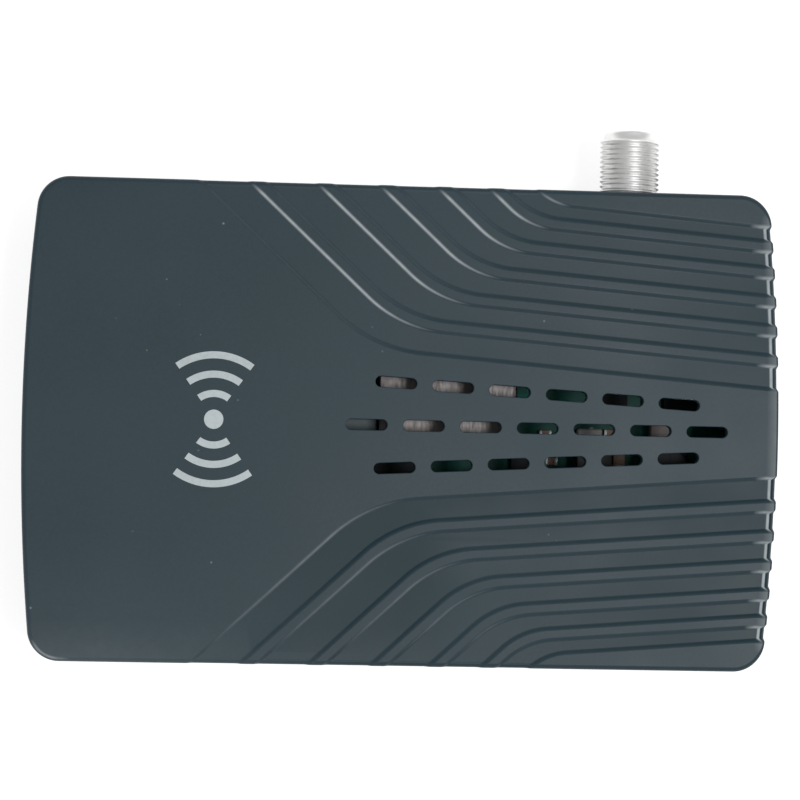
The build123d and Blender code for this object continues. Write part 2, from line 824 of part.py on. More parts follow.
def display_window():
    """The smoked window that follows the bowed front end, with a flange behind the wall."""
    start = front_plane(-half_length - overrun, window_y, part_z)
    reach = wall + front_bow + 2 * overrun
    low = part_z - window_height
    high = part_z + window_height
    outer = case_block(0, low, high) - case_block(wall, low, high)
    inner = case_block(wall, low, high) - case_block(wall + window_flange_thickness, low, high)
    flange = Rectangle(window_width + 2 * window_flange, window_height + 2 * window_flange)
    pane = extrude(start * window_outline(0), amount=reach) & outer
    return pane + (extrude(start * flange, amount=reach) & inner)


def button_tip_x():
    """Where the button's stem meets the switch plunger."""
    return front_board_x - switch_depth - plunger_reach


def standby_button():
    """The standby button: a cap, a flange that keeps it in the case and a stem that meets the switch."""
    cap_x = front_surface_x(button_y) + button_set_back
    flange_edge_x = front_surface_x(button_y - button_flange_radius)
    flange_x = flange_edge_x + wall + button_flange_gap
    cap = rod_along_x(button_radius, flange_x - cap_x, cap_x, button_y, part_z)
    flange = rod_along_x(button_flange_radius, button_flange_thickness, flange_x, button_y, part_z)
    stem = rod_along_x(plunger_radius, button_tip_x() - flange_x, flange_x, button_y, part_z)
    return cap + flange + stem


def switch_body():
    """The push switch on the front board, open where its plunger slides."""
    x = front_board_x - switch_depth / 2
    body = block(switch_depth, switch_side, switch_side, x, button_y, part_z - switch_side / 2)
    well_depth = plunger_seat_depth + plunger_sink
    well_x = front_board_x - switch_depth
    return body - rod_along_x(plunger_radius + plunger_play, well_depth, well_x, button_y, part_z)


def switch_plunger():
    """The switch's plunger, which moves with the button."""
    return rod_along_x(plunger_radius, plunger_reach + plunger_seat_depth, button_tip_x(), button_y, part_z)


nodes = {
    "top_cover": top_cover(),
    "bottom_cover": bottom_cover(),
    "case_screws": case_screws(),
    "rubber_feet": rubber_feet(),
    "main_board": main_board(),
    "antenna_body": antenna_body(),
    "antenna_insulator": antenna_insulator(),
    "antenna_contact": antenna_contact(),
    "tuner_frame": tuner_frame(),
    "tuner_lid": tuner_lid(),
    "processor": processor(),
    "processor_shield": processor_shield(),
    "memory_chip": memory_chip(),
    "power_chips": power_chips(),
    "capacitors": capacitors(),
    "inductor_core": inductor_core(),
    "inductor_winding": inductor_winding(),
    "chokes": chokes(),
    "crystal": crystal(),
    "filter_block": filter_block(),
    "chip_passives": chip_passives(),
    "av_jack": av_jack(),
    "hdmi_shell": hdmi_shell(),
    "hdmi_insert": hdmi_insert(),
    "dc_jack": dc_jack(),
    "dc_pin": dc_pin(),
    "usb_shell": usb_shell(),
    "usb_insert": usb_insert(),
    "front_board": front_board(),
    "link_pins": link_pins(),
    "led_display": led_display(),
    "remote_receiver": remote_receiver(),
    "display_window": display_window(),
    "standby_button": standby_button(),
    "switch_body": switch_body(),
    "switch_plunger": switch_plunger(),
}

# The origin lies under the middle of the whole object, antenna socket included
to_origin = Pos(0, -antenna_reach / 2, 0)
os.makedirs("parts", exist_ok=True)
for name, shape in nodes.items():
    export_step(to_origin * shape, f"parts/{name}.step")
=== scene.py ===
import math

import bmesh
import bpy
import numpy as np
from bpy.props import FloatProperty, FloatVectorProperty, PointerProperty
from bpy_extras.mesh_utils import mesh_linked_triangles
from mathutils import Matrix, Vector
from mathutils.geometry import delaunay_2d_cdt


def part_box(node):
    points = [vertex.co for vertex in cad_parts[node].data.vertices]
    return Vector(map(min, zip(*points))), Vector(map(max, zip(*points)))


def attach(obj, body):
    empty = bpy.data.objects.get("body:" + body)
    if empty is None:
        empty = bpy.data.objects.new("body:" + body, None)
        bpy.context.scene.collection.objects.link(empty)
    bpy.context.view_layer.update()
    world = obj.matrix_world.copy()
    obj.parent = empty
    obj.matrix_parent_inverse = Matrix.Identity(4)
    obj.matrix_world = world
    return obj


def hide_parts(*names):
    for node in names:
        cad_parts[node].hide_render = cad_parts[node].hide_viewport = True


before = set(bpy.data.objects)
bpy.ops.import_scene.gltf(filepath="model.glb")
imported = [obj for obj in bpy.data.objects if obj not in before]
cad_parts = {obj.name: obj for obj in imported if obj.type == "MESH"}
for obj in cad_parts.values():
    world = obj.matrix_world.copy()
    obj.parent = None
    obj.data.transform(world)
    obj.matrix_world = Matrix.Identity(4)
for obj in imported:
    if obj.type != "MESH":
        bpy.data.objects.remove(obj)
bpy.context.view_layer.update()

bl_info = {
    "name": "Satellite Television Receiver",
    "version": (1, 0, 0),
    "blender": (4, 5, 0),
    "location": "3D View > Sidebar > Receiver",
    "description": "Dresses a small satellite television receiver with its finishes and fine parts",
    "category": "Object",
}

MM = 0.001
CASE = "case"
BUTTON = "button"
# Name of the point attribute that holds painted light on the cover: painted highlights and sheen up to 1,
# painted shade down to -1
PAINTED_LIGHT = "rubbed"
QUARTER = math.pi / 2
SLOTS = {name: node.data.materials[0].name for name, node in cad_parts.items()}

# Places that the frame gives
top_low, top_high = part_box("top_cover")
case_middle = Vector(((top_low.x + top_high.x) / 2, (top_low.y + top_high.y) / 2, 0))
half_length = (top_high.x - top_low.x) / 2
half_width = (top_high.y - top_low.y) / 2
top_z = top_high.z
antenna_low, antenna_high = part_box("antenna_body")
antenna_x = (antenna_low.x + antenna_high.x) / 2
part_z = (antenna_low.z + antenna_high.z) / 2
board_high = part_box("main_board")[1]

# Shape of the moulded case, from its middle
END_BOW = 2.1 * MM
CORNER_RADIUS = 5.0 * MM
WALL = 2.0 * MM
ROOF = 2.0 * MM
RIB_WALL_HEIGHT = 0.08 * MM
RIB_TURN = math.radians(43.0)
RIB_FAN = math.radians(4.5)
RIB_BEND_RADIUS = 22.0 * MM
RIB_BEND_STEP = 2.0 * MM
RIB_SIDE_SHARES = (-0.286, -0.199, -0.110, -0.028, 0.048, 0.1175, 0.182)
RIB_END_SHARES = (0.080, 0.151, 0.214, 0.275, 0.335, 0.390, 0.442)
RIB_OVERRUN = 1.5 * MM
SLOT_COUNTS = (6, 7, 6)
SLOT_PITCH = 8.94 * MM
SLOT_ROW_STEP = 5.45 * MM
SLOT_ROW_LEAN = math.radians(3.1)
SLOT_MIDDLE_SHARE = 0.1773
SOCKET_PLAY = 0.3 * MM
FIT_GAP = 0.15 * MM
ANTENNA_HOLE_RADIUS = 5.11 * MM
AV_AXIS_HEIGHT = 3.0 * MM
AV_HOLE_RADIUS = 3.05 * MM
BUTTON_HOLE_RADIUS = 3.8 * MM
WINDOW_FLANGE = 1.2 * MM
WINDOW_CORNER_RADIUS = 1.65 * MM
SKIN_MARGIN = 0.4 * MM  # what lies nearer to the outside than this is the cover's outer skin
ROOF_MARGIN = 0.05 * MM  # what lies less than this below the roof's underside is the roof

# How finely the cover is divided
RIM_STEPS = 8
BESIDE_RIM_SHARES = (1.25, 1.6, 2.4)
CORNER_STEPS = 16
END_STEPS = 48
SIDE_STEPS = 60
BEND_STEPS = 24
SLOT_END_STEPS = 12
SLOT_ROUND_STEPS = 4
OPENING_STEPS = 10
FLANK_SHARES = (-1, -1 / 3, 1 / 3, 1)
SLOPE_STEP = 0.01 * MM
TRIANGLE_MERGE = 1e-5  # in millimetres
OUTLINE_NEAR = 1e-4 * MM
WALL_NEAR = 1e-3 * MM
POINT_NEAR = 1e-6 * MM
PAST_RIM = 1.001  # share of the rim's reach

# How strongly painted highlights lighten edges of the cover, from 0 to 1
BACK_START = 0.9
BACK_FADE = 0.08
BACK_SHARPNESS = 8
HIGHLIGHT_NEAR_FAR_HALF = 1.0
HIGHLIGHT_FAR_FAR_HALF = 0.06
HIGHLIGHT_NEAR_NEAR_HALF = 0.36
HIGHLIGHT_NEAR_FLANK = 0.02
HIGHLIGHT_LEAST = 0.005
HIGHLIGHT_SLANT_GAIN = 1.9
HIGHLIGHT_SLANT_LOSS = 0.25
HIGHLIGHT_CHANNEL_END = 0.8
HIGHLIGHT_RIB_END = 0.2
HIGHLIGHT_RIB_END_SHARE = 0.25
HIGHLIGHT_END_TILT = math.radians(16.0)
HIGHLIGHT_END_SPREAD = math.radians(10.5)
HIGHLIGHT_END_WIDTH = 1.6
HIGHLIGHT_HOOK = 0.8
HIGHLIGHT_HOOK_LENGTH = 3.6 * MM
HIGHLIGHT_HOOK_FADE = 2.1 * MM
HIGHLIGHT_HOOK_INSET = 0.3
HIGHLIGHT_EDGE_START = 0.4 * MM
HIGHLIGHT_EDGE_FADE = 1.4 * MM
HIGHLIGHT_CORNER = 0.6
HIGHLIGHT_CORNER_WAY = (-0.5, -0.866)
HIGHLIGHT_CORNER_START = 0.75
HIGHLIGHT_CORNER_FADE = 0.2
HIGHLIGHT_CORNER_INSET_SHARE = 0.62
HIGHLIGHT_CORNER_WIDTH_SHARE = 0.38

# Where painted sheen makes the cover paler, by the distance from its near side and along it, and where
# painted shade darkens its channels
PALE_INSETS = (0.0, 2.0 * MM, 6.5 * MM, 20.0 * MM)
PALE_AMOUNTS = (0.09, 0.07, 0.026, 0.004)
PALE_PLACES = (-half_length, -45.0 * MM, -24.0 * MM, 0.0, 30.0 * MM)
PALE_SHARES = (1.0, 1.0, 0.35, 0.0, 0.0)
SHADE_START = 10.0 * MM
SHADE_FAR_HALF = 0.45
SHADE_PER_PALE = 25.0
NEAR_SHADE_SHARES = (0.0, 0.1, 0.7, 1.0)
NEAR_SHADE_PLACES = (-24.0 * MM, -10.0 * MM, 3.0 * MM, 12.0 * MM)
NEAR_SHADE_AMOUNTS = (0.15, 1.0, 1.0, 0.0)
NEAR_BRIGHT_SHARES = (0.0, 0.0, 0.5, 1.0)


def length(name, description, default):
    """A length that a user may change."""
    return FloatProperty(name=name, description=description, default=default, unit="LENGTH")


def colour_of(name, description, default):
    """A colour that a user may change."""
    return FloatVectorProperty(
        name=name, description=description, subtype="COLOR", default=default, min=0, max=1)


class ReceiverSizes(bpy.types.PropertyGroup):
    """Sizes of the finish that a user may change."""

    rim_radius: length("Rim Radius", "Rounding of the top cover's edge", 0.8 * MM)
    rib_height: length("Rib Height", "How far the ribs stand above the channels", 0.32 * MM)
    rib_width: length("Rib Width", "Width of a rib at its foot", 2.2 * MM)
    rib_far: length("Rib Far Flank", "Width of a rib's sloped side that faces the far side", 0.47 * MM)
    rib_near: length("Rib Near Flank", "Width of a rib's sloped side that faces the near side", 0.40 * MM)
    rib_end: length("Rib End", "Rounding of a rib where it ends at the back", 0.4 * MM)
    channel_end: length("Channel End", "Rounding of a channel's floor where it ends at the back", 1.5 * MM)
    rib_round: length("Rib Rounding", "Rounding at the crest and the foot of a rib", 0.18 * MM)
    slot_length: length("Slot Length", "Length of a vent slot", 6.5 * MM)
    slot_width: length("Slot Width", "Width of a vent slot", 1.7 * MM)
    slot_round: length("Slot Rounding", "Rounding of a vent slot's edge", 0.12 * MM)


class ReceiverColours(bpy.types.PropertyGroup):
    """Colours of the finish and of its painted highlights and painted shade that a user may change."""

    case: colour_of("Case", "Moulded case", (0.0235, 0.0455, 0.0578))
    # Colour that painted highlights and sheen blend towards, then the colour that painted shade in the
    # channels blends towards
    rubbed: colour_of("Painted Highlights", "Painted highlights on the case's edges and rib flanks", (0.55, 0.60, 0.63))
    painted_shade: colour_of("Painted Channel Shade", "Painted shade in the case's channels", (0.0035, 0.0249, 0.0349))


def sizes():
    """The sizes set in the sidebar."""
    return bpy.context.scene.receiver_sizes


def colours():
    """The colours set in the sidebar."""
    return bpy.context.scene.receiver_colours


def cross(a, b):
    """The upright part of the product of flat vectors."""
    return a[..., 0] * b[..., 1] - a[..., 1] * b[..., 0]


def way(angle):
    """The flat unit vector at an angle."""
    return np.array((math.cos(angle), math.sin(angle)))


def ramp(amount, start, run):
    """How far an amount has come, from 0 at the start to 1 at the end of a run."""
    return np.clip((amount - start) / run, 0, 1)


def fold(points):
    """The points, with those of the near half mirrored to the far half."""
    return np.column_stack((points[:, 0], np.abs(points[:, 1])))


def sideways(out):
    """The flat ways that lie a quarter turn left of others."""
    return np.column_stack((-out[:, 1], out[:, 0]))


def along_both(first, second):
    """The product of each vector with its partner."""
    return np.einsum("ij,ij->i", first, second)


class CasePlan:
    """The case's outline from above: straight sides, two like bowed ends and round corners."""

    def __init__(self):
        self.radius = (half_width**2 + END_BOW**2) / (2 * END_BOW)
        self.middle = np.array((half_length - self.radius, 0.0))
        corner_y = half_width - CORNER_RADIUS
        run = math.sqrt((self.radius - CORNER_RADIUS) ** 2 - corner_y**2)
        self.corner = self.middle + np.array((run, corner_y))
        self.angle = math.atan2(corner_y, run)

    def loop(self):
        """Points of the outline and the way outwards at each, once round, starting on the near side."""
        near = np.linspace(-self.corner[0], self.corner[0], SIDE_STEPS + 1)
        points = [(x, -half_width) for x in near[:-1]]
        ways = [(0, -1)] * SIDE_STEPS
        arcs = (
            (self.corner * (1, -1), CORNER_RADIUS, -QUARTER, -self.angle, CORNER_STEPS),
            (self.middle, self.radius, -self.angle, self.angle, END_STEPS),
            (self.corner, CORNER_RADIUS, self.angle, QUARTER, CORNER_STEPS),
        )
        for middle, radius, start, end, steps in arcs:
            for angle in np.linspace(start, end, steps + 1)[:-1]:
                points.append(middle + radius * way(angle))
                ways.append(way(angle))
        return tuple(np.concatenate((half, -half)) for half in (np.array(points), np.array(ways)))

    def locate(self, points):
        """How far points lie inside the outline, and the way outwards there."""
        folded = np.abs(points)
        depth = half_width - folded[:, 1]
        out = np.tile((0.0, 1.0), (len(points), 1))
        spoke = folded - self.corner
        angle = np.arctan2(spoke[:, 1], spoke[:, 0])
        at_corner = (angle > self.angle) & (angle < QUARTER) & spoke.any(axis=1)
        at_end = self.radius - np.linalg.norm(folded - self.middle, axis=1) < depth
        arcs = ((at_end, self.middle, self.radius), (at_corner, self.corner, CORNER_RADIUS))
        for chosen, middle, radius in arcs:
            spoke = folded[chosen] - middle
            depth[chosen] = radius - np.linalg.norm(spoke, axis=1)
            out[chosen] = unit(spoke)
        return depth, out * np.where(points < 0, -1, 1)


class RibEdge:
    """The foot of a rib on the far half: a slanting run, a bend and a run to the back end."""

    def __init__(self, line, shift):
        self.slant_way = way(-RIB_TURN)
        self.back_way = way(-RIB_FAN)
        self.slant_out = way(QUARTER - RIB_TURN)
        self.back_out = way(QUARTER - RIB_FAN)
        self.radius = RIB_BEND_RADIUS - RIB_BEND_STEP * line
        self.side = np.array((2 * half_length * RIB_SIDE_SHARES[line], half_width)) + shift * self.slant_out
        self.end = np.array((half_length, 2 * half_width * RIB_END_SHARES[line])) + shift * self.back_out
        side = self.side + self.radius * self.slant_out
        end = self.end + self.radius * self.back_out
        along = cross(end - side, self.back_way) / cross(self.slant_way, self.back_way)
        self.middle = side + along * self.slant_way

    def distance(self, points):
        """How far points lie outwards of this edge."""
        spoke = points - self.middle
        bend = (cross(-self.slant_out, spoke) > 0) & (cross(spoke, -self.back_out) > 0)
        bend &= spoke @ (self.slant_out + self.back_out) < 0
        straight = np.minimum((points - self.side) @ self.slant_out, (points - self.end) @ self.back_out)
        return np.where(bend, self.radius - np.linalg.norm(spoke, axis=1), straight)

    def parallel(self, shift):
        """Points along the edge, moved outwards, from beyond the long side to beyond the back end."""
        radius = self.radius - shift
        angles = np.linspace(3 * QUARTER - RIB_TURN, 3 * QUARTER - RIB_FAN, BEND_STEPS + 1)
        bend = [self.middle + radius * way(angle) for angle in angles]
        to_side = (half_width + RIB_OVERRUN - bend[0][1]) / math.sin(RIB_TURN)
        to_end = (half_length + RIB_OVERRUN - bend[-1][0]) / math.cos(RIB_FAN)
        return np.array([bend[0] - to_side * self.slant_way, *bend, bend[-1] + to_end * self.back_way])


def channel_edges():
    """The two feet that bound each channel of the far half."""
    half = sizes().rib_width / 2
    count = len(RIB_SIDE_SHARES) - 1
    return [(RibEdge(line, half), RibEdge(line + 1, -half)) for line in range(count)]


def flank(distance, run):
    """How deep the channel is, from 0 to 1, at a distance inwards from the foot of its flank."""
    soft = sizes().rib_round
    crest = np.clip(distance + run + soft, 0, 2 * soft)
    straight = np.clip(distance + run - soft, 0, run - 2 * soft)
    foot = np.clip(distance + soft, 0, 2 * soft)
    return (crest**2 / (4 * soft) + straight + foot - foot**2 / (4 * soft)) / run


def groove(points, edges):
    """How deep, from 0 to 1, the channels are at points of the plan."""
    folded = fold(points)
    on_far_half = points[:, 1] > 0
    inner_run = np.where(on_far_half, sizes().rib_far, sizes().rib_near)
    outer_run = np.where(on_far_half, sizes().rib_near, sizes().rib_far)
    depth = np.zeros(len(points))
    for inner, outer in edges:
        from_inner = flank(inner.distance(folded), inner_run)
        from_outer = flank(-outer.distance(folded), outer_run)
        depth = np.maximum(depth, np.minimum(from_inner, from_outer))
    return depth


def groove_slope(points, edges):
    """How fast the channels deepen along X and along Y."""
    slopes = []
    for shift in ((SLOPE_STEP, 0), (0, SLOPE_STEP)):
        change = groove(points + np.array(shift), edges) - groove(points - np.array(shift), edges)
        slopes.append(change / (2 * SLOPE_STEP))
    return np.column_stack(slopes)


class Outlines:
    """Points and edges gathered from several outlines."""

    def __init__(self):
        self.points = []
        self.edges = []

    def add(self, points, closed=True):
        """One more outline."""
        first = len(self.points)
        count = len(points)
        self.points.extend(tuple(point) for point in points)
        self.edges.extend((first + step, first + step + 1) for step in range(count - 1))
        if closed:
            self.edges.append((first + count - 1, first))

    def triangles(self):
        """The plan between the outlines as triangles, with the middle of each."""
        flat = [Vector(point) for point in np.asarray(self.points) / MM]
        found, _, faces, _, _, _ = delaunay_2d_cdt(flat, self.edges, [], 0, TRIANGLE_MERGE)
        points = np.array([tuple(point) for point in found]) * MM
        faces = np.array(faces)
        return points, faces, points[faces].mean(axis=1)


class Skin:
    """Surfaces that become one mesh, with the way outwards given at each point."""

    def __init__(self):
        self.points = []
        self.normals = []
        self.rubbed = []
        self.faces = []

    def add(self, points, normals, faces, rubbed=None):
        """The points that one more surface uses, with how far painted light lightens or darkens it at each.
        """
        used = sorted({int(corner) for face in faces for corner in face})
        index = {corner: len(self.points) + step for step, corner in enumerate(used)}
        self.points.extend(tuple(points[corner]) for corner in used)
        self.normals.extend(tuple(normals[corner]) for corner in used)
        self.rubbed.extend(0.0 if rubbed is None else rubbed[corner] for corner in used)
        self.faces.extend(tuple(index[int(corner)] for corner in face) for face in faces)

    def strip(self, loops, normals):
        """A band through closed loops of as many points each."""
        count = len(loops[0])
        faces = []
        for low in range(0, count * (len(loops) - 1), count):
            for step in range(count):
                after = (step + 1) % count
                faces.append((low + step, low + after, low + count + after, low + count + step))
        self.add(np.concatenate(loops), np.concatenate(normals), faces)

    def mesh(self, name):
        """The mesh, placed at the case's middle."""
        mesh = bpy.data.meshes.new(name)
        place = np.array(case_middle)
        mesh.from_pydata([tuple(np.array(point) + place) for point in self.points], [], self.faces)
        mesh.shade_smooth()
        mesh.normals_split_custom_set_from_vertices(self.normals)
        # The attribute carries the painted highlights, sheen and shade for the case's material
        mesh.attributes.new(PAINTED_LIGHT, "FLOAT", "POINT").data.foreach_set("value", self.rubbed)
        return mesh


def flank_offsets(run):
    """Offsets from a rib's foot at which the cover gets points, from the crest to the channel's floor."""
    soft = sizes().rib_round
    return [start + soft * share for start in (-run, 0) for share in FLANK_SHARES]


def slot_places():
    """Middle and turn of each vent slot."""
    places = []
    for row_number, count in enumerate(SLOT_COUNTS):
        side = 1 - row_number
        lean = -side * SLOT_ROW_LEAN
        middle = np.array((2 * half_length * SLOT_MIDDLE_SHARE, side * SLOT_ROW_STEP))
        for step in range(count):
            along = (step - (count - 1) / 2) * SLOT_PITCH
            places.append((middle + along * way(lean), lean))
    return places


def slot_run():
    """Half of the straight length of a vent slot."""
    return (sizes().slot_length - sizes().slot_width) / 2


def slot_loop(middle, lean, grow):
    """A vent slot's outline, grown outwards, and the way outwards at each point."""
    radius = sizes().slot_width / 2 + grow
    points, ways = [], []
    for end in (1, -1):
        for angle in np.linspace(-end * QUARTER, (2 - end) * QUARTER, SLOT_END_STEPS + 1):
            points.append(middle + end * slot_run() * way(lean) + radius * way(angle + lean))
            ways.append(way(angle + lean))
    return np.array(points), np.array(ways)


def in_slots(points, places, grow):
    """Which points lie inside a vent slot."""
    inside = np.zeros(len(points), dtype=bool)
    for middle, lean in places:
        spoke = points - middle
        along = np.clip(spoke @ way(lean), -slot_run(), slot_run())
        inside |= np.linalg.norm(spoke - along[:, None] * way(lean), axis=1) < sizes().slot_width / 2 + grow
    return inside


def facing(points, faces, wanted):
    """The faces, each turned so that it faces the wanted way at its first point."""
    corners = points[faces]
    normals = np.cross(corners[:, 1] - corners[:, 0], corners[:, 2] - corners[:, 0])
    wrong = along_both(normals, wanted[faces[:, 0]]) < 0
    faces = faces.copy()
    faces[wrong] = faces[wrong][:, ::-1]
    return faces


def unit(vectors):
    """The vectors, each one long."""
    return vectors / np.linalg.norm(vectors, axis=1)[:, None]


def rounding(out, sink):
    """Radius of the cover's edge. At the back end it is wide in the channels and tight on the ribs."""
    at_back = np.clip(out[:, 0], 0, 1) ** BACK_SHARPNESS
    end_radius = sizes().rib_end + (sizes().channel_end - sizes().rib_end) * sink
    return sizes().rim_radius + (end_radius - sizes().rim_radius) * at_back


def rim_reach(out):
    """How far the rounding of the cover's edge reaches in from the outline."""
    return rounding(out, np.ones(len(out)))


def lift(plan, points, edges):
    """The cover's outer surface above points of the plan, with the way outwards."""
    depth, out = plan.locate(points)
    radius = rim_reach(out)
    depth = np.clip(depth, 0, None)
    rise = np.arccos(np.clip(1 - depth / radius, 0, 1))
    on_rim = depth < radius * PAST_RIM
    level, upright = np.cos(rise), np.sin(rise)
    normal = np.column_stack((out * level[:, None], upright))
    up_slope = np.column_stack((-out * upright[:, None], level))
    tangent = sideways(out)
    sink = groove(points, edges)
    slope = groove_slope(points, edges)
    growth = (sizes().rib_height - RIB_WALL_HEIGHT) / QUARTER
    height = RIB_WALL_HEIGHT + growth * rise
    climb = np.where(on_rim, growth / radius, 0)
    along = height * along_both(slope, tangent)
    inwards = height * upright * along_both(slope, -out) + sink * climb
    placed = np.column_stack((points, top_z - radius * (1 - upright))) - normal * (height * sink)[:, None]
    tight = np.where(on_rim, radius - rounding(out, sink), 0)
    placed += np.column_stack((out * (1 - level)[:, None], 1 - upright)) * tight[:, None]
    aside = np.column_stack((tangent, np.zeros(len(points))))
    return placed, unit(normal + aside * along[:, None] + up_slope * inwards[:, None])


def bright_flanks(points, depth, slope):
    """How bright the painted highlights on the slanting flanks of the ribs are, most of all on the far half.
    """
    faces_near = slope[:, 1] < 0
    run = np.where(faces_near, sizes().rib_near, sizes().rib_far)
    slanting = np.clip(HIGHLIGHT_SLANT_GAIN * np.abs(slope[:, 0]) * run - HIGHLIGHT_SLANT_LOSS, 0, 1)
    slanting *= ramp(depth, HIGHLIGHT_EDGE_START, HIGHLIGHT_EDGE_FADE)
    on_far_half = np.where(faces_near, HIGHLIGHT_NEAR_FAR_HALF, HIGHLIGHT_FAR_FAR_HALF)
    on_near_half = np.where(faces_near, HIGHLIGHT_NEAR_NEAR_HALF, 0)
    on_near_half = on_near_half * np.interp(points[:, 1] + half_width, PALE_INSETS, NEAR_BRIGHT_SHARES)
    return slanting * np.where(points[:, 1] > 0, on_far_half, on_near_half)


def bright_ends(inset, sink):
    """How bright the painted highlights are on channels and ribs where they end at the back."""
    tilt = np.arcsin(np.clip(1 - inset, 0, 1))
    channels = np.clip(HIGHLIGHT_END_WIDTH - np.abs(tilt - HIGHLIGHT_END_TILT) / HIGHLIGHT_END_SPREAD, 0, 1)
    channels *= inset < PAST_RIM
    ribs = np.clip(1 - np.abs(1 - inset) / HIGHLIGHT_RIB_END_SHARE, 0, 1)
    return HIGHLIGHT_CHANNEL_END * sink * channels + HIGHLIGHT_RIB_END * (1 - sink) * ribs


def bright_corner(plan, points, depth, out):
    """How bright the painted highlight is on the edge round the near corner of the front end."""
    turn = ramp(out @ np.array(HIGHLIGHT_CORNER_WAY), HIGHLIGHT_CORNER_START, HIGHLIGHT_CORNER_FADE)
    aside = np.abs(depth / sizes().rim_radius - HIGHLIGHT_CORNER_INSET_SHARE) / HIGHLIGHT_CORNER_WIDTH_SHARE
    return HIGHLIGHT_CORNER * turn * np.clip(1 - aside, 0, 1) * (points[:, 0] < -plan.corner[0])


def channel_shade(points, sink):
    """How much painted shade darkens the channels, most of all at the back end and on the near half's
    slanting runs.
    """
    at_end = ramp(points[:, 0], SHADE_START, half_length - SHADE_START)
    at_side = np.interp(points[:, 1] + half_width, PALE_INSETS, NEAR_SHADE_SHARES)
    at_side = at_side * np.interp(points[:, 0], NEAR_SHADE_PLACES, NEAR_SHADE_AMOUNTS)
    return sink * np.where(points[:, 1] > 0, SHADE_FAR_HALF * at_end, np.maximum(at_end, at_side))


def painted_light_amounts(plan, points, edges):
    """How far painted highlights and sheen lighten the cover, up to 1, or painted shade darkens it, down to
    -1.
    """
    depth, out = plan.locate(points)
    sink = groove(points, edges)
    slope = groove_slope(points, edges)
    inset = depth / rim_reach(out)
    at_back = ramp(out[:, 0], BACK_START, BACK_FADE)
    near_flanks = np.clip(-slope[:, 1] * sizes().rib_near, 0, 1)
    hooks = ramp(-depth, -HIGHLIGHT_HOOK_LENGTH, HIGHLIGHT_HOOK_FADE)
    hooks *= ramp(inset, HIGHLIGHT_HOOK_INSET, HIGHLIGHT_HOOK_INSET)
    # Painted highlights: rib flanks, channel and rib ends, hooks near the back, the front corner and faint
    # near flanks
    bright = np.maximum.reduce((
        bright_flanks(points, depth, slope),
        bright_ends(inset, sink) * at_back,
        HIGHLIGHT_HOOK * hooks * near_flanks * at_back,
        bright_corner(plan, points, depth, out),
        HIGHLIGHT_NEAR_FLANK * near_flanks,
    ))
    # Painted sheen along the near edge, less the painted shade in the channels
    pale = np.interp(points[:, 1] + half_width, PALE_INSETS, PALE_AMOUNTS)
    pale *= np.interp(points[:, 0], PALE_PLACES, PALE_SHARES)
    even = pale - channel_shade(points, sink) / SHADE_PER_PALE
    even = np.where(even < 0, even * SHADE_PER_PALE, even)
    return np.where(bright > HIGHLIGHT_LEAST, np.maximum(bright, pale), even)


def add_roof(skin, plan, edges, places):
    """The ribbed top with its rounded rim. Returns the points found along the outline."""
    outlines = Outlines()
    rim, ways = plan.loop()
    shares = [1 - math.cos(QUARTER * step / RIM_STEPS) for step in range(RIM_STEPS + 1)]
    for share in (*shares, *BESIDE_RIM_SHARES):
        outlines.add(rim - share * rim_reach(ways)[:, None] * ways)
    for inner, outer in edges:
        for side in (1, -1):
            inner_run, outer_run = (sizes().rib_far, sizes().rib_near)[::side]
            for offset in flank_offsets(inner_run):
                outlines.add(inner.parallel(offset) * (1, side), closed=False)
            for offset in flank_offsets(outer_run):
                outlines.add(outer.parallel(-offset) * (1, side), closed=False)
    for middle, lean in places:
        outlines.add(slot_loop(middle, lean, sizes().slot_round)[0])
    for inset in PALE_INSETS[2:]:
        outlines.add([(x, inset - half_width) for x in PALE_PLACES], closed=False)
    points, faces, centres = outlines.triangles()
    inside = plan.locate(centres)[0] > 0
    faces = faces[inside & ~in_slots(centres, places, sizes().slot_round)]
    placed, normals = lift(plan, points, edges)
    # Each point carries how much painted light lightens or darkens it
    skin.add(placed, normals, facing(placed, faces, normals), painted_light_amounts(plan, points, edges))
    return outline_points(rim, points)


def outline_points(loop, points):
    """The points that lie on a closed outline, in order."""
    found = []
    for start, end in zip(loop, np.roll(loop, -1, axis=0)):
        reach = np.linalg.norm(end - start)
        run = (end - start) / reach
        along = (points - start) @ run
        apart = np.abs(cross(run, points - start))
        chosen = (apart < OUTLINE_NEAR) & (along > -OUTLINE_NEAR) & (along < reach - OUTLINE_NEAR)
        found.extend(points[chosen][np.argsort(along[chosen])])
    return np.array(found)


def with_height(flat, height):
    """Flat points or ways with the same third part."""
    return np.column_stack((flat, np.full(len(flat), height)))


def add_slots(skin, places):
    """The walls of the vent slots, rounded at the top."""
    soft = sizes().slot_round
    for middle, lean in places:
        loops, normals = [], []
        for angle in np.linspace(0, QUARTER, SLOT_ROUND_STEPS + 1):
            loop, ways = slot_loop(middle, lean, soft * (1 - math.sin(angle)))
            loops.append(with_height(loop, top_z - soft * (1 - math.cos(angle))))
            normals.append(with_height(-math.sin(angle) * ways, math.cos(angle)))
        loop, ways = slot_loop(middle, lean, 0)
        loops.append(with_height(loop, top_z - ROOF))
        normals.append(with_height(-ways, 0))
        skin.strip(loops, normals)


def add_ceiling(skin, plan, places):
    """The roof's underside."""
    rim, ways = plan.loop()
    outlines = Outlines()
    outlines.add(rim - (WALL - SKIN_MARGIN) * ways)
    for middle, lean in places:
        outlines.add(slot_loop(middle, lean, 0)[0])
    points, faces, centres = outlines.triangles()
    faces = faces[~in_slots(centres, places, 0)]
    placed = with_height(points, top_z - ROOF)
    down = np.tile((0.0, 0.0, -1.0), (len(points), 1))
    skin.add(placed, down, facing(placed, faces, down))


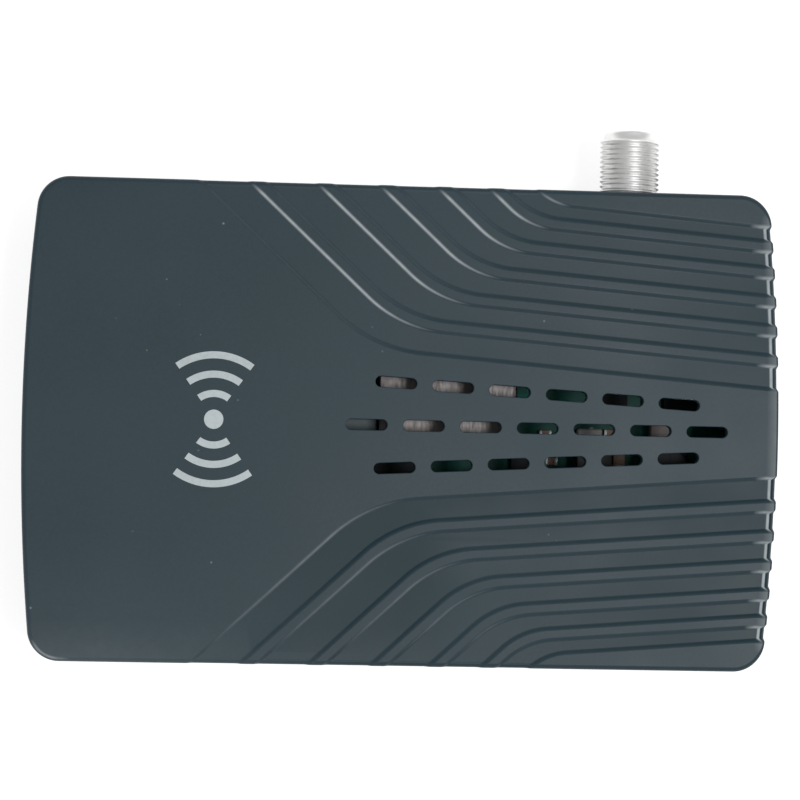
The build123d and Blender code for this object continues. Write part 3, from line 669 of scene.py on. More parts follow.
class Opening:
    """An opening in a wall, as seen square to it: a rectangle with round corners."""

    def __init__(self, low, high, radius):
        self.low = np.array(low) + radius
        self.high = np.array(high) - radius
        self.radius = radius

    def loop(self):
        """Points round the opening."""
        points = []
        steps = OPENING_STEPS if self.radius > 0 else 0
        for index, (right, top) in enumerate(((1, 1), (0, 1), (0, 0), (1, 0))):
            middle = np.array(((self.low[0], self.high[0])[right], (self.low[1], self.high[1])[top]))
            for angle in np.linspace(index, index + 1, steps + 1) * QUARTER:
                points.append(middle + self.radius * way(angle))
        return points

    def holds(self, points):
        """Which points lie in the opening."""
        spoke = points - np.clip(points, self.low, self.high)
        return np.linalg.norm(spoke, axis=1) < max(self.radius, POINT_NEAR)


def boxed(node, across, play=SOCKET_PLAY, radius=0):
    """An opening round a node's box, with play, as seen along Y or along X."""
    low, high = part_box(node)
    shift = case_middle[across]
    return Opening(
        (low[across] - shift - play, low.z - play), (high[across] - shift + play, high.z + play), radius)


def round_opening(x, z, radius):
    """A round opening."""
    return Opening((x - radius, z - radius), (x + radius, z + radius), radius)


def side_openings():
    """Openings of the far side."""
    return [
        round_opening(antenna_x, part_z, ANTENNA_HOLE_RADIUS),
        round_opening(middle_of("av_jack").x, board_high.z + AV_AXIS_HEIGHT, AV_HOLE_RADIUS),
        boxed("hdmi_shell", 0),
        boxed("dc_jack", 0),
    ]


def front_openings():
    """Openings of the front end."""
    button = middle_of("standby_button")
    return [
        boxed("usb_shell", 1),
        boxed("display_window", 1, FIT_GAP - WINDOW_FLANGE, WINDOW_CORNER_RADIUS),
        round_opening(button.y - case_middle.y, button.z, BUTTON_HOLE_RADIUS),
    ]


def add_wall(skin, plan, edges, run, across, openings):
    """A stretch of the cover's wall below points of the outline, as seen along one way, with openings."""
    high_z = top_z - sizes().rim_radius
    columns = run[:, across]
    outlines = Outlines()
    for column in columns:
        outlines.add([(column, part_z), (column, high_z)], closed=False)
    for level in (part_z, high_z):
        outlines.add([(column, level) for column in columns], closed=False)
    for opening in openings:
        outlines.add(opening.loop())
    points, faces, centres = outlines.triangles()
    kept = (centres[:, 1] > part_z) & (centres[:, 1] < high_z)
    for opening in openings:
        kept &= ~opening.holds(centres)
    order = np.argsort(columns)
    flat = np.column_stack(
        [np.interp(points[:, 0], columns[order], run[order][:, axis]) for axis in (0, 1)])
    placed, normals = wall_surface(plan, edges, flat, points[:, 1])
    skin.add(placed, normals, facing(placed, faces[kept], normals))


def wall_surface(plan, edges, flat, heights):
    """The cover's wall at points of the outline, with the way outwards."""
    _, out = plan.locate(flat)
    tangent = sideways(out)
    slope = RIB_WALL_HEIGHT * along_both(groove_slope(flat, edges), tangent)
    sunk = flat - out * (RIB_WALL_HEIGHT * groove(flat, edges))[:, None]
    return np.column_stack((sunk, heights)), with_height(unit(out + tangent * slope[:, None]), 0)


def add_walls(skin, plan, edges, rim):
    """The cover's wall, from the rounded rim down to the joint with the bottom cover."""
    bow_y = plan.radius * math.sin(plan.angle)
    between_corners = np.abs(rim[:, 0]) < plan.corner[0] + WALL_NEAR
    on_far_side = (rim[:, 1] > half_width - WALL_NEAR) & between_corners
    on_front = (rim[:, 0] < -plan.corner[0]) & (np.abs(rim[:, 1]) < bow_y + WALL_NEAR)
    add_wall(skin, plan, edges, rim[on_far_side], 0, side_openings())
    add_wall(skin, plan, edges, rim[on_front], 1, front_openings())
    low, normals = wall_surface(plan, edges, rim, np.full(len(rim), part_z))
    _, out = plan.locate(rim)
    high = low.copy()
    high[:, 2] = top_z - rounding(out, groove(rim, edges))
    count = len(rim)
    faces = []
    for step in range(count):
        after = (step + 1) % count
        if not any(stretch[step] and stretch[after] for stretch in (on_far_side, on_front)):
            faces.append((step, after, count + after, count + step))
    skin.add(np.concatenate((low, high)), np.concatenate((normals, normals)), faces)


def add_inside(skin, plan):
    """The cover's pillars, clips, inner walls and the insides of its openings, as the frame has them."""
    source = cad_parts["top_cover"].data
    points = np.array([tuple(vertex.co) for vertex in source.vertices]) - np.array(case_middle)
    depth, _ = plan.locate(points[:, :2])
    roof = points[:, 2] > top_z - ROOF - ROOF_MARGIN
    outside = depth < SKIN_MARGIN
    for face in source.polygons:
        corners = list(face.vertices)
        if not (roof[corners].all() or outside[corners].all()):
            skin.add(points[corners], [tuple(face.normal)] * len(corners), [tuple(range(len(corners)))])


def cover_mesh():
    """The top cover: ribs, channels, vents, rounded rim, walls and inside."""
    plan = CasePlan()
    edges = channel_edges()
    places = slot_places()
    skin = Skin()
    rim = add_roof(skin, plan, edges, places)
    add_slots(skin, places)
    add_ceiling(skin, plan, places)
    add_walls(skin, plan, edges, rim)
    add_inside(skin, plan)
    return skin.mesh("top_cover_shell")


# Patterns of the finishes, with waves counted in a metre
NOISE_RANGE = (0.3, 0.7)
CLOUD_WAVES = 38.0
CLOUD_DETAIL = 3.0
CLOUD_RANGE = (0.35, 0.65)
CLOUD_TONES = (0.93, 1.07)
CLOUD_ROUGH = (-0.04, 0.05)
GRAIN_AMOUNT = 0.35
GRAIN_TONE = 1.3
GRAIN_STRENGTH = 0.35
DUST_WAVES = 420.0
DUST_RANGE = (0.02, 0.1)
DUST_SPREAD_WAVES = 160.0
DUST_SPREAD_RANGE = (0.64, 0.72)
DUST_COLOUR = (0.55, 0.57, 0.58)
HIGHLIGHT_WAVES = 600.0
HIGHLIGHT_EVENNESS = 0.8
METAL_DETAIL = 3.0
METAL_CLOUD_WAVES = 180.0
METAL_TONES = (0.86, 1.1)
METAL_ROUGH = (-0.07, 0.09)
METAL_STRENGTH = 0.3
TRACK_WAVES = 330.0
TRACK_RANDOMNESS = 0.85
TRACK_RANGE = (0.42, 0.46)
TRACK_ROUGH = (0.32, 0.4)
TRACK_STRENGTH = 0.4
TRACK_HEIGHT = 0.02 * MM
BOARD_GREEN = (0.001, 0.120, 0.092)
TRACK_GREEN = (0.003, 0.210, 0.160)
SPOT_WAVES = 260.0
SPOT_RANDOMNESS = 0.7
SPOT_RANGE = (0.10, 0.13)
SPOT_COLOUR = (0.55, 0.55, 0.5)
WINDOW_WAVES = 90.0
WINDOW_COLOURS = ((0.045, 0.03, 0.035), (0.07, 0.05, 0.055))
WINDOW_ROUGH = (0.04, 0.09)
BUTTON_TONE = 0.8


def finish(name, **values):
    """A new material, with its shader's own sockets set."""
    material = bpy.data.materials.new(name)
    material.use_nodes = True
    shader = material.node_tree.nodes["Principled BSDF"]
    for socket, value in values.items():
        shader.inputs[socket.replace("_", " ").title().replace("Ior", "IOR")].default_value = value
    return material


def add_node(tree, kind, inputs, settings):
    """One node of a tree, with its inputs set or linked by name or number."""
    node = tree.nodes.new(kind)
    for key, value in settings.items():
        setattr(node, key, value)
    for socket, value in inputs.items():
        fill(tree, node.inputs[socket], value)
    return node


def fill(tree, socket, value):
    """Links or sets one input of a node."""
    if isinstance(value, bpy.types.NodeSocket):
        tree.links.new(value, socket)
    else:
        socket.default_value = value


class Nodes:
    """Adds nodes to a material, all patterns lying on the piece's own coordinates."""

    def __init__(self, material):
        self.tree = material.node_tree
        self.shader = self.tree.nodes["Principled BSDF"]
        self.place = self.add("TexCoord")["Object"]

    def add(self, kind, inputs=None, **settings):
        """The outputs of one more node."""
        return add_node(self.tree, f"ShaderNode{kind}", inputs or {}, settings).outputs

    def math(self, operation, first, second):
        """Two numbers made into one."""
        return self.add("Math", {0: first, 1: second}, operation=operation)["Value"]

    def noise(self, scale, detail=2.0, place=None):
        """Noise with so many waves in a metre."""
        return self.add("TexNoise", {"Vector": place or self.place, "Scale": scale, "Detail": detail})["Fac"]

    def cells(self, scale, randomness=1.0, **settings):
        """Distance in a pattern of cells, so many in a metre."""
        inputs = {"Vector": self.place, "Scale": scale, "Randomness": randomness}
        return self.add("TexVoronoi", inputs, **settings)["Distance"]

    def between(self, amount, low, high, start=0.0, end=1.0):
        """A number that goes from low to high as the amount goes from start to end."""
        inputs = {"Value": amount, "From Min": start, "From Max": end, "To Min": low, "To Max": high}
        return self.add("MapRange", inputs)["Result"]

    def mix(self, amount, first, second):
        """A colour between two."""
        node = add_node(self.tree, "ShaderNodeMix", {"Factor": amount}, {"data_type": "RGBA"})
        for name, value in (("A", first), ("B", second)):
            socket = next(item for item in node.inputs if item.name == name and item.type == "RGBA")
            fill(self.tree, socket, value if isinstance(value, bpy.types.NodeSocket) else (*value, 1.0))
        return next(item for item in node.outputs if item.type == "RGBA")

    def drive(self, socket, value):
        """Links one of the shader's inputs."""
        self.tree.links.new(value, self.shader.inputs[socket])

    def bump(self, height, strength, distance):
        """Raises the surface by a pattern."""
        inputs = {"Height": height, "Strength": strength, "Distance": distance}
        self.drive("Normal", self.add("Bump", inputs)["Normal"])


def shaded(colour, factor):
    """A colour made darker or lighter."""
    return tuple(min(1.0, part * factor) for part in colour)


def around(middle, spread):
    """The two ends of a spread about a number."""
    return middle + spread[0], middle + spread[1]


def moulded(name, colour, rough, grain=2600.0, depth=0.012, dust=0.0, shine=0.5, painted_light_colours=None):
    """Moulded plastic with a fine eroded grain, cloudy tone and some dust; given painted-light colours, it
    also paints highlights, sheen and shade from the cover's attribute.
    """
    material = finish(name, specular_ior_level=shine)
    nodes = Nodes(material)
    cloud = nodes.noise(CLOUD_WAVES, CLOUD_DETAIL)
    tones = [shaded(colour, tone) for tone in CLOUD_TONES]
    tone = nodes.mix(nodes.between(cloud, 0, 1, *CLOUD_RANGE), *tones)
    fine = nodes.noise(grain)
    tone = nodes.mix(nodes.between(fine, 0, GRAIN_AMOUNT, *NOISE_RANGE), tone, shaded(colour, GRAIN_TONE))
    if dust:
        near = nodes.between(nodes.cells(DUST_WAVES), dust, 0, *DUST_RANGE)
        sparse = nodes.between(nodes.noise(DUST_SPREAD_WAVES, 1.0), 0, 1, *DUST_SPREAD_RANGE)
        tone = nodes.mix(nodes.math("MULTIPLY", near, sparse), tone, DUST_COLOUR)
    if painted_light_colours:
        # Painted shade from negative values, then painted highlights and sheen from positive values, made
        # uneven by noise
        painted_amount = nodes.add("Attribute", attribute_name=PAINTED_LIGHT)["Fac"]
        tone = nodes.mix(nodes.between(painted_amount, 1, 0, -1, 0), tone, painted_light_colours.painted_shade)
        uneven = nodes.between(nodes.noise(HIGHLIGHT_WAVES), HIGHLIGHT_EVENNESS, 1.0, *NOISE_RANGE)
        tone = nodes.mix(nodes.math("MULTIPLY", nodes.between(painted_amount, 0, 1), uneven), tone, painted_light_colours.rubbed)
    nodes.drive("Base Color", tone)
    nodes.drive("Roughness", nodes.between(cloud, *around(rough, CLOUD_ROUGH), *NOISE_RANGE))
    nodes.bump(fine, GRAIN_STRENGTH, depth * MM)
    return material


def metal(name, colour, rough, stretch=(1, 1, 1), grain=900.0, depth=0.006):
    """Plated or bare metal, with a drawn grain and a tone that wanders a little."""
    material = finish(name, metallic=1.0)
    nodes = Nodes(material)
    stretched = nodes.add("Mapping", {"Vector": nodes.place, "Scale": stretch})["Vector"]
    drawn = nodes.noise(grain, METAL_DETAIL, stretched)
    tones = [shaded(colour, tone) for tone in METAL_TONES]
    nodes.drive("Base Color", nodes.mix(nodes.noise(METAL_CLOUD_WAVES), *tones))
    nodes.drive("Roughness", nodes.between(drawn, *around(rough, METAL_ROUGH), *NOISE_RANGE))
    nodes.bump(drawn, METAL_STRENGTH, depth * MM)
    return material


def solder_mask():
    """Green lacquer over copper tracks, with tinned spots."""
    material = finish("board_lacquer", specular_ior_level=0.1)
    nodes = Nodes(material)
    cells = nodes.cells(TRACK_WAVES, TRACK_RANDOMNESS, distance="CHEBYCHEV", feature="F2")
    track = nodes.between(cells, 1, 0, *TRACK_RANGE)
    tinned = nodes.between(nodes.cells(SPOT_WAVES, SPOT_RANDOMNESS), 1, 0, *SPOT_RANGE)
    nodes.drive("Base Color", nodes.mix(tinned, nodes.mix(track, BOARD_GREEN, TRACK_GREEN), SPOT_COLOUR))
    nodes.drive("Roughness", nodes.between(track, *TRACK_ROUGH))
    nodes.bump(track, TRACK_STRENGTH, TRACK_HEIGHT)
    return material


def smoked_window():
    """Dark smoked window plastic."""
    material = finish(
        "smoked_window", transmission_weight=0.75, ior=1.49, coat_weight=0.2, coat_roughness=0.05)
    nodes = Nodes(material)
    cloud = nodes.noise(WINDOW_WAVES)
    nodes.drive("Base Color", nodes.mix(cloud, *WINDOW_COLOURS))
    nodes.drive("Roughness", nodes.between(cloud, *WINDOW_ROUGH))
    return material


FINISHES = {}


def make_finishes():
    """Every finish of the receiver: those of the frame's material slots, and some of single pieces."""
    case = tuple(colours().case)
    FINISHES.update({
        # The case's material paints highlights, sheen and shade from the cover's attribute
        "case": moulded("case_plastic", case, 0.40, dust=0.5, shine=0.25, painted_light_colours=colours()),
        "button": moulded("button_plastic", shaded(case, BUTTON_TONE), 0.34),
        "screw_steel": metal("zinc_steel", (0.52, 0.52, 0.53), 0.34, (1, 1, 6)),
        "foot_rubber": moulded("foot_rubber", (0.022, 0.022, 0.023), 0.72, 1500.0, 0.03),
        "board": solder_mask(),
        "antenna_plating": metal("nickel_plating", (0.97, 0.97, 0.95), 0.4, (1, 5, 1)),
        "insulator": moulded("white_insulator", (0.72, 0.72, 0.69), 0.5, 900.0, 0.01),
        "contact": metal("contact_plating", (0.80, 0.66, 0.36), 0.28, (1, 4, 1)),
        "tin_plate": metal("tin_plate", (0.19, 0.176, 0.174), 0.5, (6, 1, 1), 500.0),
        "chip": moulded("chip_epoxy", (0.014, 0.018, 0.022), 0.55, 1800.0, 0.02, shine=0.25),
        "capacitor_sleeve": moulded("capacitor_sleeve", (0.014, 0.014, 0.020), 0.3, 700.0, 0.01),
        "ferrite": moulded("ferrite", (0.040, 0.040, 0.043), 0.62, 1400.0, 0.04),
        "copper": metal("enamelled_copper", (0.72, 0.33, 0.14), 0.26),
        "crystal_can": metal("drawn_can", (0.78, 0.77, 0.75), 0.24, (4, 1, 1)),
        "filter": moulded("filter_ceramic", (0.31, 0.265, 0.26), 0.5, 1100.0, 0.02),
        "passive": moulded("passive_ceramic", (0.42, 0.29, 0.22), 0.5, 1500.0, 0.02, shine=0.3),
        "socket_plastic": moulded("socket_plastic", (0.016, 0.016, 0.018), 0.42, 2000.0, 0.012),
        "socket_shell": metal("socket_shell", (0.70, 0.70, 0.71), 0.28, (1, 6, 1)),
        "display": moulded("display_resin", (0.018, 0.018, 0.020), 0.25, 900.0, 0.006),
        "receiver": moulded("receiver_epoxy", (0.020, 0.014, 0.020), 0.2, 900.0, 0.004),
        "window": smoked_window(),
        "choke": moulded("choke_resin", (0.13, 0.17, 0.185), 0.6, 1400.0, 0.03, dust=0.9),
        "solder": metal("solder", (0.50, 0.51, 0.51), 0.45),
        "clock_can": moulded("clock_can", (0.55, 0.55, 0.54), 0.35, 900.0, 0.01),
        "capacitor_top": moulded("capacitor_top", (0.012, 0.014, 0.018), 0.6, 900.0, 0.02, shine=0.2),
        "print": moulded("printing_ink", (0.50, 0.56, 0.58), 0.5, 1800.0, 0.006),
        "segment": moulded("display_segment", (0.42, 0.40, 0.38), 0.4, 1500.0, 0.004),
    })


def add_piece(mesh, body, slot, *replaced):
    """A finished piece that rides on a body."""
    piece = linked(mesh.name, mesh)
    if not mesh.materials:
        mesh.materials.append(FINISHES[slot])
    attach(piece, body)
    if replaced:
        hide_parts(*replaced)


def made_of(mesh, name):
    """The mesh in a finish of its own."""
    mesh.materials.clear()
    mesh.materials.append(FINISHES[name])
    return mesh


MERGE = 0.001 * MM
SHAPE_MERGE = 0.0001 * MM
FLAT = math.radians(0.5)
CREASE = math.radians(35.0)
FACE_WEIGHT = 80
ALONG_Y = Matrix.Rotation(-QUARTER, 4, "X")
FACING_FRONT = Matrix(((0, 0, -1, 0), (-1, 0, 0, 0), (0, 1, 0, 0), (0, 0, 0, 1)))
IN_PLACE = Matrix.Identity(4)


def at(x, y, z):
    """The matrix of a place."""
    return Matrix.Translation((x, y, z))


def about_z(angle):
    """The matrix of a turn about Z."""
    return Matrix.Rotation(angle, 4, "Z")


def middle_of(node):
    """The middle of a node's box."""
    low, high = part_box(node)
    return (low + high) / 2


def linked(name, data):
    """An object in the scene."""
    item = bpy.data.objects.new(name, data)
    bpy.context.scene.collection.objects.link(item)
    return item


def clean_copy(node):
    """A copy of a node's mesh with its loose triangles joined and its flat faces whole."""
    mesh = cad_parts[node].data.copy()
    shape = bmesh.new()
    shape.from_mesh(mesh)
    bmesh.ops.remove_doubles(shape, verts=shape.verts, dist=MERGE)
    bmesh.ops.dissolve_limit(shape, angle_limit=FLAT, verts=shape.verts, edges=shape.edges)
    shape.to_mesh(mesh)
    shape.free()
    mesh.materials.clear()
    return mesh


def evaluated(host, name):
    """The mesh that a host's modifiers make. The host and its own mesh go."""
    made = bpy.data.meshes.new_from_object(host.evaluated_get(bpy.context.evaluated_depsgraph_get()))
    source = host.data
    bpy.data.objects.remove(host)
    bpy.data.meshes.remove(source)
    made.name = name
    return made


def baked(mesh, name, *modifiers):
    """The mesh that modifiers make of another, each given as its kind and its settings."""
    host = linked(name, mesh)
    for kind, settings in modifiers:
        modifier = host.modifiers.new(kind.lower(), kind)
        for setting, value in settings.items():
            setattr(modifier, setting, value)
    return evaluated(host, name)


def bevel(width, segments=2):
    """A modifier that rounds edges."""
    return "BEVEL", {"width": width, "segments": segments, "limit_method": "ANGLE", "angle_limit": CREASE}


def softened(node, width, segments):
    """A copy of a node's shape with its edges rounded."""
    plain = clean_copy(node)
    plain.shade_smooth()
    even = ("WEIGHTED_NORMAL", {"weight": FACE_WEIGHT})
    return baked(plain, f"{node}_finished", bevel(width, segments), even)


def smoothed(mesh, crease=CREASE):
    """The mesh, shaded smooth between its creases."""
    mesh.shade_smooth()
    mesh.set_sharp_from_angle(angle=crease)
    return mesh


def solids(node):
    """Lowest and highest corner of each separate solid of a node, from the front end to the back end."""
    mesh = clean_copy(node)
    boxes = []
    for triangles in mesh_linked_triangles(mesh):
        places = np.array([mesh.vertices[index].co for triangle in triangles for index in triangle.vertices])
        boxes.append((Vector(places.min(axis=0)), Vector(places.max(axis=0))))
    bpy.data.meshes.remove(mesh)
    return sorted(boxes, key=lambda box: tuple(box[0]))


def circle(radius, steps):
    """Points round the origin."""
    return [tuple(radius * way(2 * math.pi * step / steps)) for step in range(steps)]


def arc_band(radius, half, start, end):
    """The outline of a bent band with twice the half width."""
    angles = np.linspace(start, end, ARC_STEPS + 1)
    outer = [tuple((radius + half) * way(angle)) for angle in angles]
    return outer + [tuple((radius - half) * way(angle)) for angle in angles[::-1]]


def turned(profile, steps):
    """A shape turned about Z from radius and height pairs, as points and faces."""
    points, faces, rings = [], [], []
    for radius, height in profile:
        first = len(points)
        if radius == 0:
            points.append((0, 0, height))
            rings.append([first] * steps)
            continue
        points.extend((*point, height) for point in circle(radius, steps))
        rings.append(list(range(first, first + steps)))
    for low, high in zip(rings, rings[1:]):
        for step in range(steps):
            after = (step + 1) % steps
            corners = (low[step], low[after], high[after], high[step])
            faces.append(tuple(dict.fromkeys(corners)))
    return points, faces


def extruded(outline, low, high):
    """An outline in X and Y pulled up from one height to another, as points and faces."""
    count = len(outline)
    points = [(*point, low) for point in outline] + [(*point, high) for point in outline]
    sides = [(step, (step + 1) % count, count + (step + 1) % count, count + step) for step in range(count)]
    return points, [tuple(range(count))[::-1], tuple(range(count, 2 * count)), *sides]


def box_shape(low, high):
    """A box, as points and faces."""
    outline = [(low[0], low[1]), (high[0], low[1]), (high[0], high[1]), (low[0], high[1])]
    return extruded(outline, low[2], high[2])


def shape_mesh(name, parts, rounded=0.0):
    """One mesh of several shapes, each with the matrix that places it, with rounded edges."""
    shape = bmesh.new()
    for (points, faces), place in parts:
        vertices = [shape.verts.new(place @ Vector(point)) for point in points]
        for face in faces:
            shape.faces.new([vertices[corner] for corner in face])
    bmesh.ops.remove_doubles(shape, verts=shape.verts, dist=SHAPE_MERGE)
    bmesh.ops.recalc_face_normals(shape, faces=shape.faces)
    mesh = bpy.data.meshes.new(name)
    shape.to_mesh(mesh)
    shape.free()
    if rounded:
        mesh = baked(mesh, name, bevel(rounded))
    return smoothed(mesh)


def joined(name, meshes):
    """Several meshes as one."""
    shape = bmesh.new()
    for mesh in meshes:
        shape.from_mesh(mesh)
    materials = list(meshes[0].materials)
    for mesh in meshes:
        bpy.data.meshes.remove(mesh)
    whole = bpy.data.meshes.new(name)
    shape.to_mesh(whole)
    shape.free()
    for material in materials:
        whole.materials.append(material)
    return smoothed(whole)


class GrowthTree:
    """A tree of geometry nodes with named inputs for its sizes."""

    def __init__(self, name, sockets):
        self.tree = bpy.data.node_groups.new(name, "GeometryNodeTree")
        self.tree.interface.new_socket("Geometry", in_out="OUTPUT", socket_type="NodeSocketGeometry")
        for socket, kind in {**sockets, "Material": "Material"}.items():
            self.tree.interface.new_socket(socket, in_out="INPUT", socket_type=f"NodeSocket{kind}")
        self.inputs = self.tree.nodes.new("NodeGroupInput").outputs

    def add(self, kind, inputs, **settings):
        """The outputs of one more node."""
        return add_node(self.tree, kind, inputs, settings).outputs

    def end(self, geometry):
        """Ends the tree in real, finished geometry."""
        real = self.add("GeometryNodeRealizeInstances", {"Geometry": geometry})["Geometry"]
        inputs = {"Geometry": real, "Material": self.inputs["Material"]}
        finished = self.add("GeometryNodeSetMaterial", inputs)["Geometry"]
        self.tree.links.new(finished, self.tree.nodes.new("NodeGroupOutput").inputs["Geometry"])
        return self.tree


def grown(name, tree, values):
    """The plain mesh that a tree grows from named values."""
    host = linked("host", bpy.data.meshes.new("seed"))
    modifier = host.modifiers.new("growth", "NODES")
    modifier.node_group = tree
    for item in tree.interface.items_tree:
        if item.in_out == "INPUT":
            modifier[item.identifier] = values[item.name]
    return evaluated(host, name)


def wound_tree(name, resolution, profile):
    """A tree that winds a profile round Z: a thread or a coil of wire."""
    growth = GrowthTree(name, dict.fromkeys(("Turns", "Radius", "Height", "Depth", "Width"), "Float"))
    radius = growth.inputs["Radius"]
    spiral = {
        "Resolution": resolution, "Rotations": growth.inputs["Turns"], "Start Radius": radius,
        "End Radius": radius, "Height": growth.inputs["Height"],
    }
    path = growth.add("GeometryNodeCurveSpiral", spiral)["Curve"]
    level = growth.add("GeometryNodeSetCurveNormal", {"Curve": path}, mode="Z_UP")["Curve"]
    sweep = {"Curve": level, "Profile Curve": profile(growth), "Fill Caps": True}
    return growth.end(growth.add("GeometryNodeCurveToMesh", sweep)["Mesh"])


def thread_profile(growth):
    """The ridge of a screw thread, wide at its foot."""
    crest = {0: growth.inputs["Width"], 1: THREAD_CREST_SHARE}
    ridge = {
        "Height": growth.inputs["Depth"], "Bottom Width": growth.inputs["Width"],
        "Top Width": growth.add("ShaderNodeMath", crest, operation="MULTIPLY")["Value"], "Offset": 0.0,
    }
    upright = growth.add("GeometryNodeCurvePrimitiveQuadrilateral", ridge, mode="TRAPEZOID")["Curve"]
    quarter_turn = {"Geometry": upright, "Rotation": (0.0, 0.0, QUARTER)}
    return growth.add("GeometryNodeTransform", quarter_turn)["Geometry"]


def wire_profile(growth):
    """Round wire."""
    ring = {"Resolution": WIRE_STEPS, "Radius": growth.inputs["Depth"]}
    return growth.add("GeometryNodeCurvePrimitiveCircle", ring)["Curve"]


def row_tree():
    """A tree that repeats one shape in a straight row."""
    growth = GrowthTree("row", {"Shape": "Object", "Count": "Int", "Start": "Vector", "Step": "Vector"})
    given = growth.inputs
    line = {"Count": given["Count"], "Start Location": given["Start"], "Offset": given["Step"]}
    points = growth.add("GeometryNodeMeshLine", line, mode="OFFSET")["Mesh"]
    shape = growth.add("GeometryNodeObjectInfo", {"Object": given["Shape"]})["Geometry"]
    copies = growth.add("GeometryNodeInstanceOnPoints", {"Points": points, "Instance": shape})
    return growth.end(copies["Instances"])


def row(name, mesh, slot, count, start, step):
    """A row of like shapes as one mesh."""
    shape = linked(f"{name}_shape", mesh)
    tree = bpy.data.node_groups.get("row") or row_tree()
    values = {"Shape": shape, "Count": count, "Start": start, "Step": step, "Material": FINISHES[slot]}
    made = grown(name, tree, values)
    bpy.data.objects.remove(shape)
    return smoothed(made)


# Sizes of the fine parts
ROUND_STEPS = 48
ARC_STEPS = 32
THREAD_PITCH = 0.794 * MM
THREAD_CREST = 4.76 * MM
THREAD_ROOT = 4.32 * MM
THREAD_LENGTH = 8.9 * MM
THREAD_FOOT_SHARE = 0.94
THREAD_CREST_SHARE = 0.16
THREAD_STEPS = 64
THREAD_CREASE = math.radians(50.0)
NECK_RADIUS = 4.4 * MM
NECK_REACH = 0.4 * MM
NECK_EDGE = 0.05 * MM
NOSE_RADIUS = 4.15 * MM
NOSE_LENGTH = 1.4 * MM
NOSE_EDGE = 0.1 * MM
# Loss of radius and distance from the tip, in millimetres
NOSE_ROUNDING = ((0, 0.5), (0.12, 0.2), (0.32, 0.04), (0.42, 0))
BORE_RADIUS = 3.2 * MM
BORE_EDGE = 0.12 * MM
BORE_MARGIN = 0.05 * MM
COIL_WIRE = 0.24 * MM
COIL_LAYERS = 2
COIL_LAYER_STEP = 1.8
COIL_TURNS = 5.0
COIL_STEPS = 32
WIRE_STEPS = 10
PIN_SHEET = 0.15 * MM
PIN_ROOT = 0.1 * MM
PIN_REACH = 0.9 * MM
PIN_BENDS = (0.25, 0.5, 0.4, 0.2)
PIN_WIDTH_SHARE = 0.4
PIN_HEIGHT_SHARE = 0.55
MEMORY_PITCH = 0.65 * MM
POWER_PITCH = 1.27 * MM
# Share of a capacitor's radius, and height in millimetres above its foot or its top
SLEEVE_FOOT = ((0.7, 0), (0.96, 0), (1, 0.2), (1, 1.2), (0.93, 1.6), (1, 2.0))
SLEEVE_HEAD = ((1, -0.45), (0.96, -0.12), (0.86, 0), (0.8, -0.1))
LID_SHARE = 0.82
LID_DROP = 0.1 * MM
LID_STEPS = 8
SCORE_DROP = 0.22 * MM
SCORE_HALF = 0.12 * MM
SCORE_ANGLE = 0.06
SCORE_FLOOR = 0.2 * MM
SCORE_OVERLAP = 0.02 * MM
TIN_THICKNESS = 0.03 * MM
TIN_SHARE = 0.24
TIN_ROUND = 0.06 * MM
SCREW_HEAD = 1.6 * MM
SCREW_SHANK = 1.3 * MM
# Share of a screw head's radius, and distance from its top in millimetres
SCREW_DOME = ((0.62, 0.03), (0.86, 0.2), (0.98, 0.6))
SCREW_TIP = 1.0 * MM
SCREW_TIP_SHARE = 0.4
RECESS_ARM_SHARE = 0.62
RECESS_HALF_SHARE = 0.17
RECESS_DEPTH = 1.0 * MM
DIGIT_COUNT = 4
DIGIT_HEIGHT_SHARE = 0.62
DIGIT_WIDTH_SHARE = 0.55
DIGIT_BAR_SHARE = 0.13
DIGIT_GAP_SHARE = 0.12
DIGIT_DEPTH = 0.05 * MM
PRINT_HEIGHT = 0.02 * MM
STANDBY_RADIUS = 1.15 * MM
STANDBY_HALF = 0.13 * MM
STANDBY_OPENING = 0.6
STANDBY_BAR = (0.25, 1.35)
SIGN_PLACE = (-29.6 * MM, 0.3 * MM)
SIGN_DOT = 1.5 * MM
SIGN_DOT_STEPS = 40
SIGN_RADII = (4.0 * MM, 7.0 * MM, 10.0 * MM)
SIGN_HALF = 0.55 * MM
SIGN_SPREAD = 0.62
VIDEO_STRIP = (0.16 * MM, 5.0 * MM, 0.04 * MM)
VIDEO_TONGUE = 3.1 * MM
VIDEO_ROWS = ((10, 0.7 * MM), (9, -0.7 * MM))
VIDEO_PITCH = 1.0 * MM
VIDEO_INSET = 0.3 * MM
DATA_STRIP = (7.0 * MM, 0.5 * MM, 0.05 * MM)
DATA_COUNT = 4
DATA_PITCH = 2.3 * MM
DATA_INSET = 0.5 * MM
DATA_DROP = 2.8 * MM


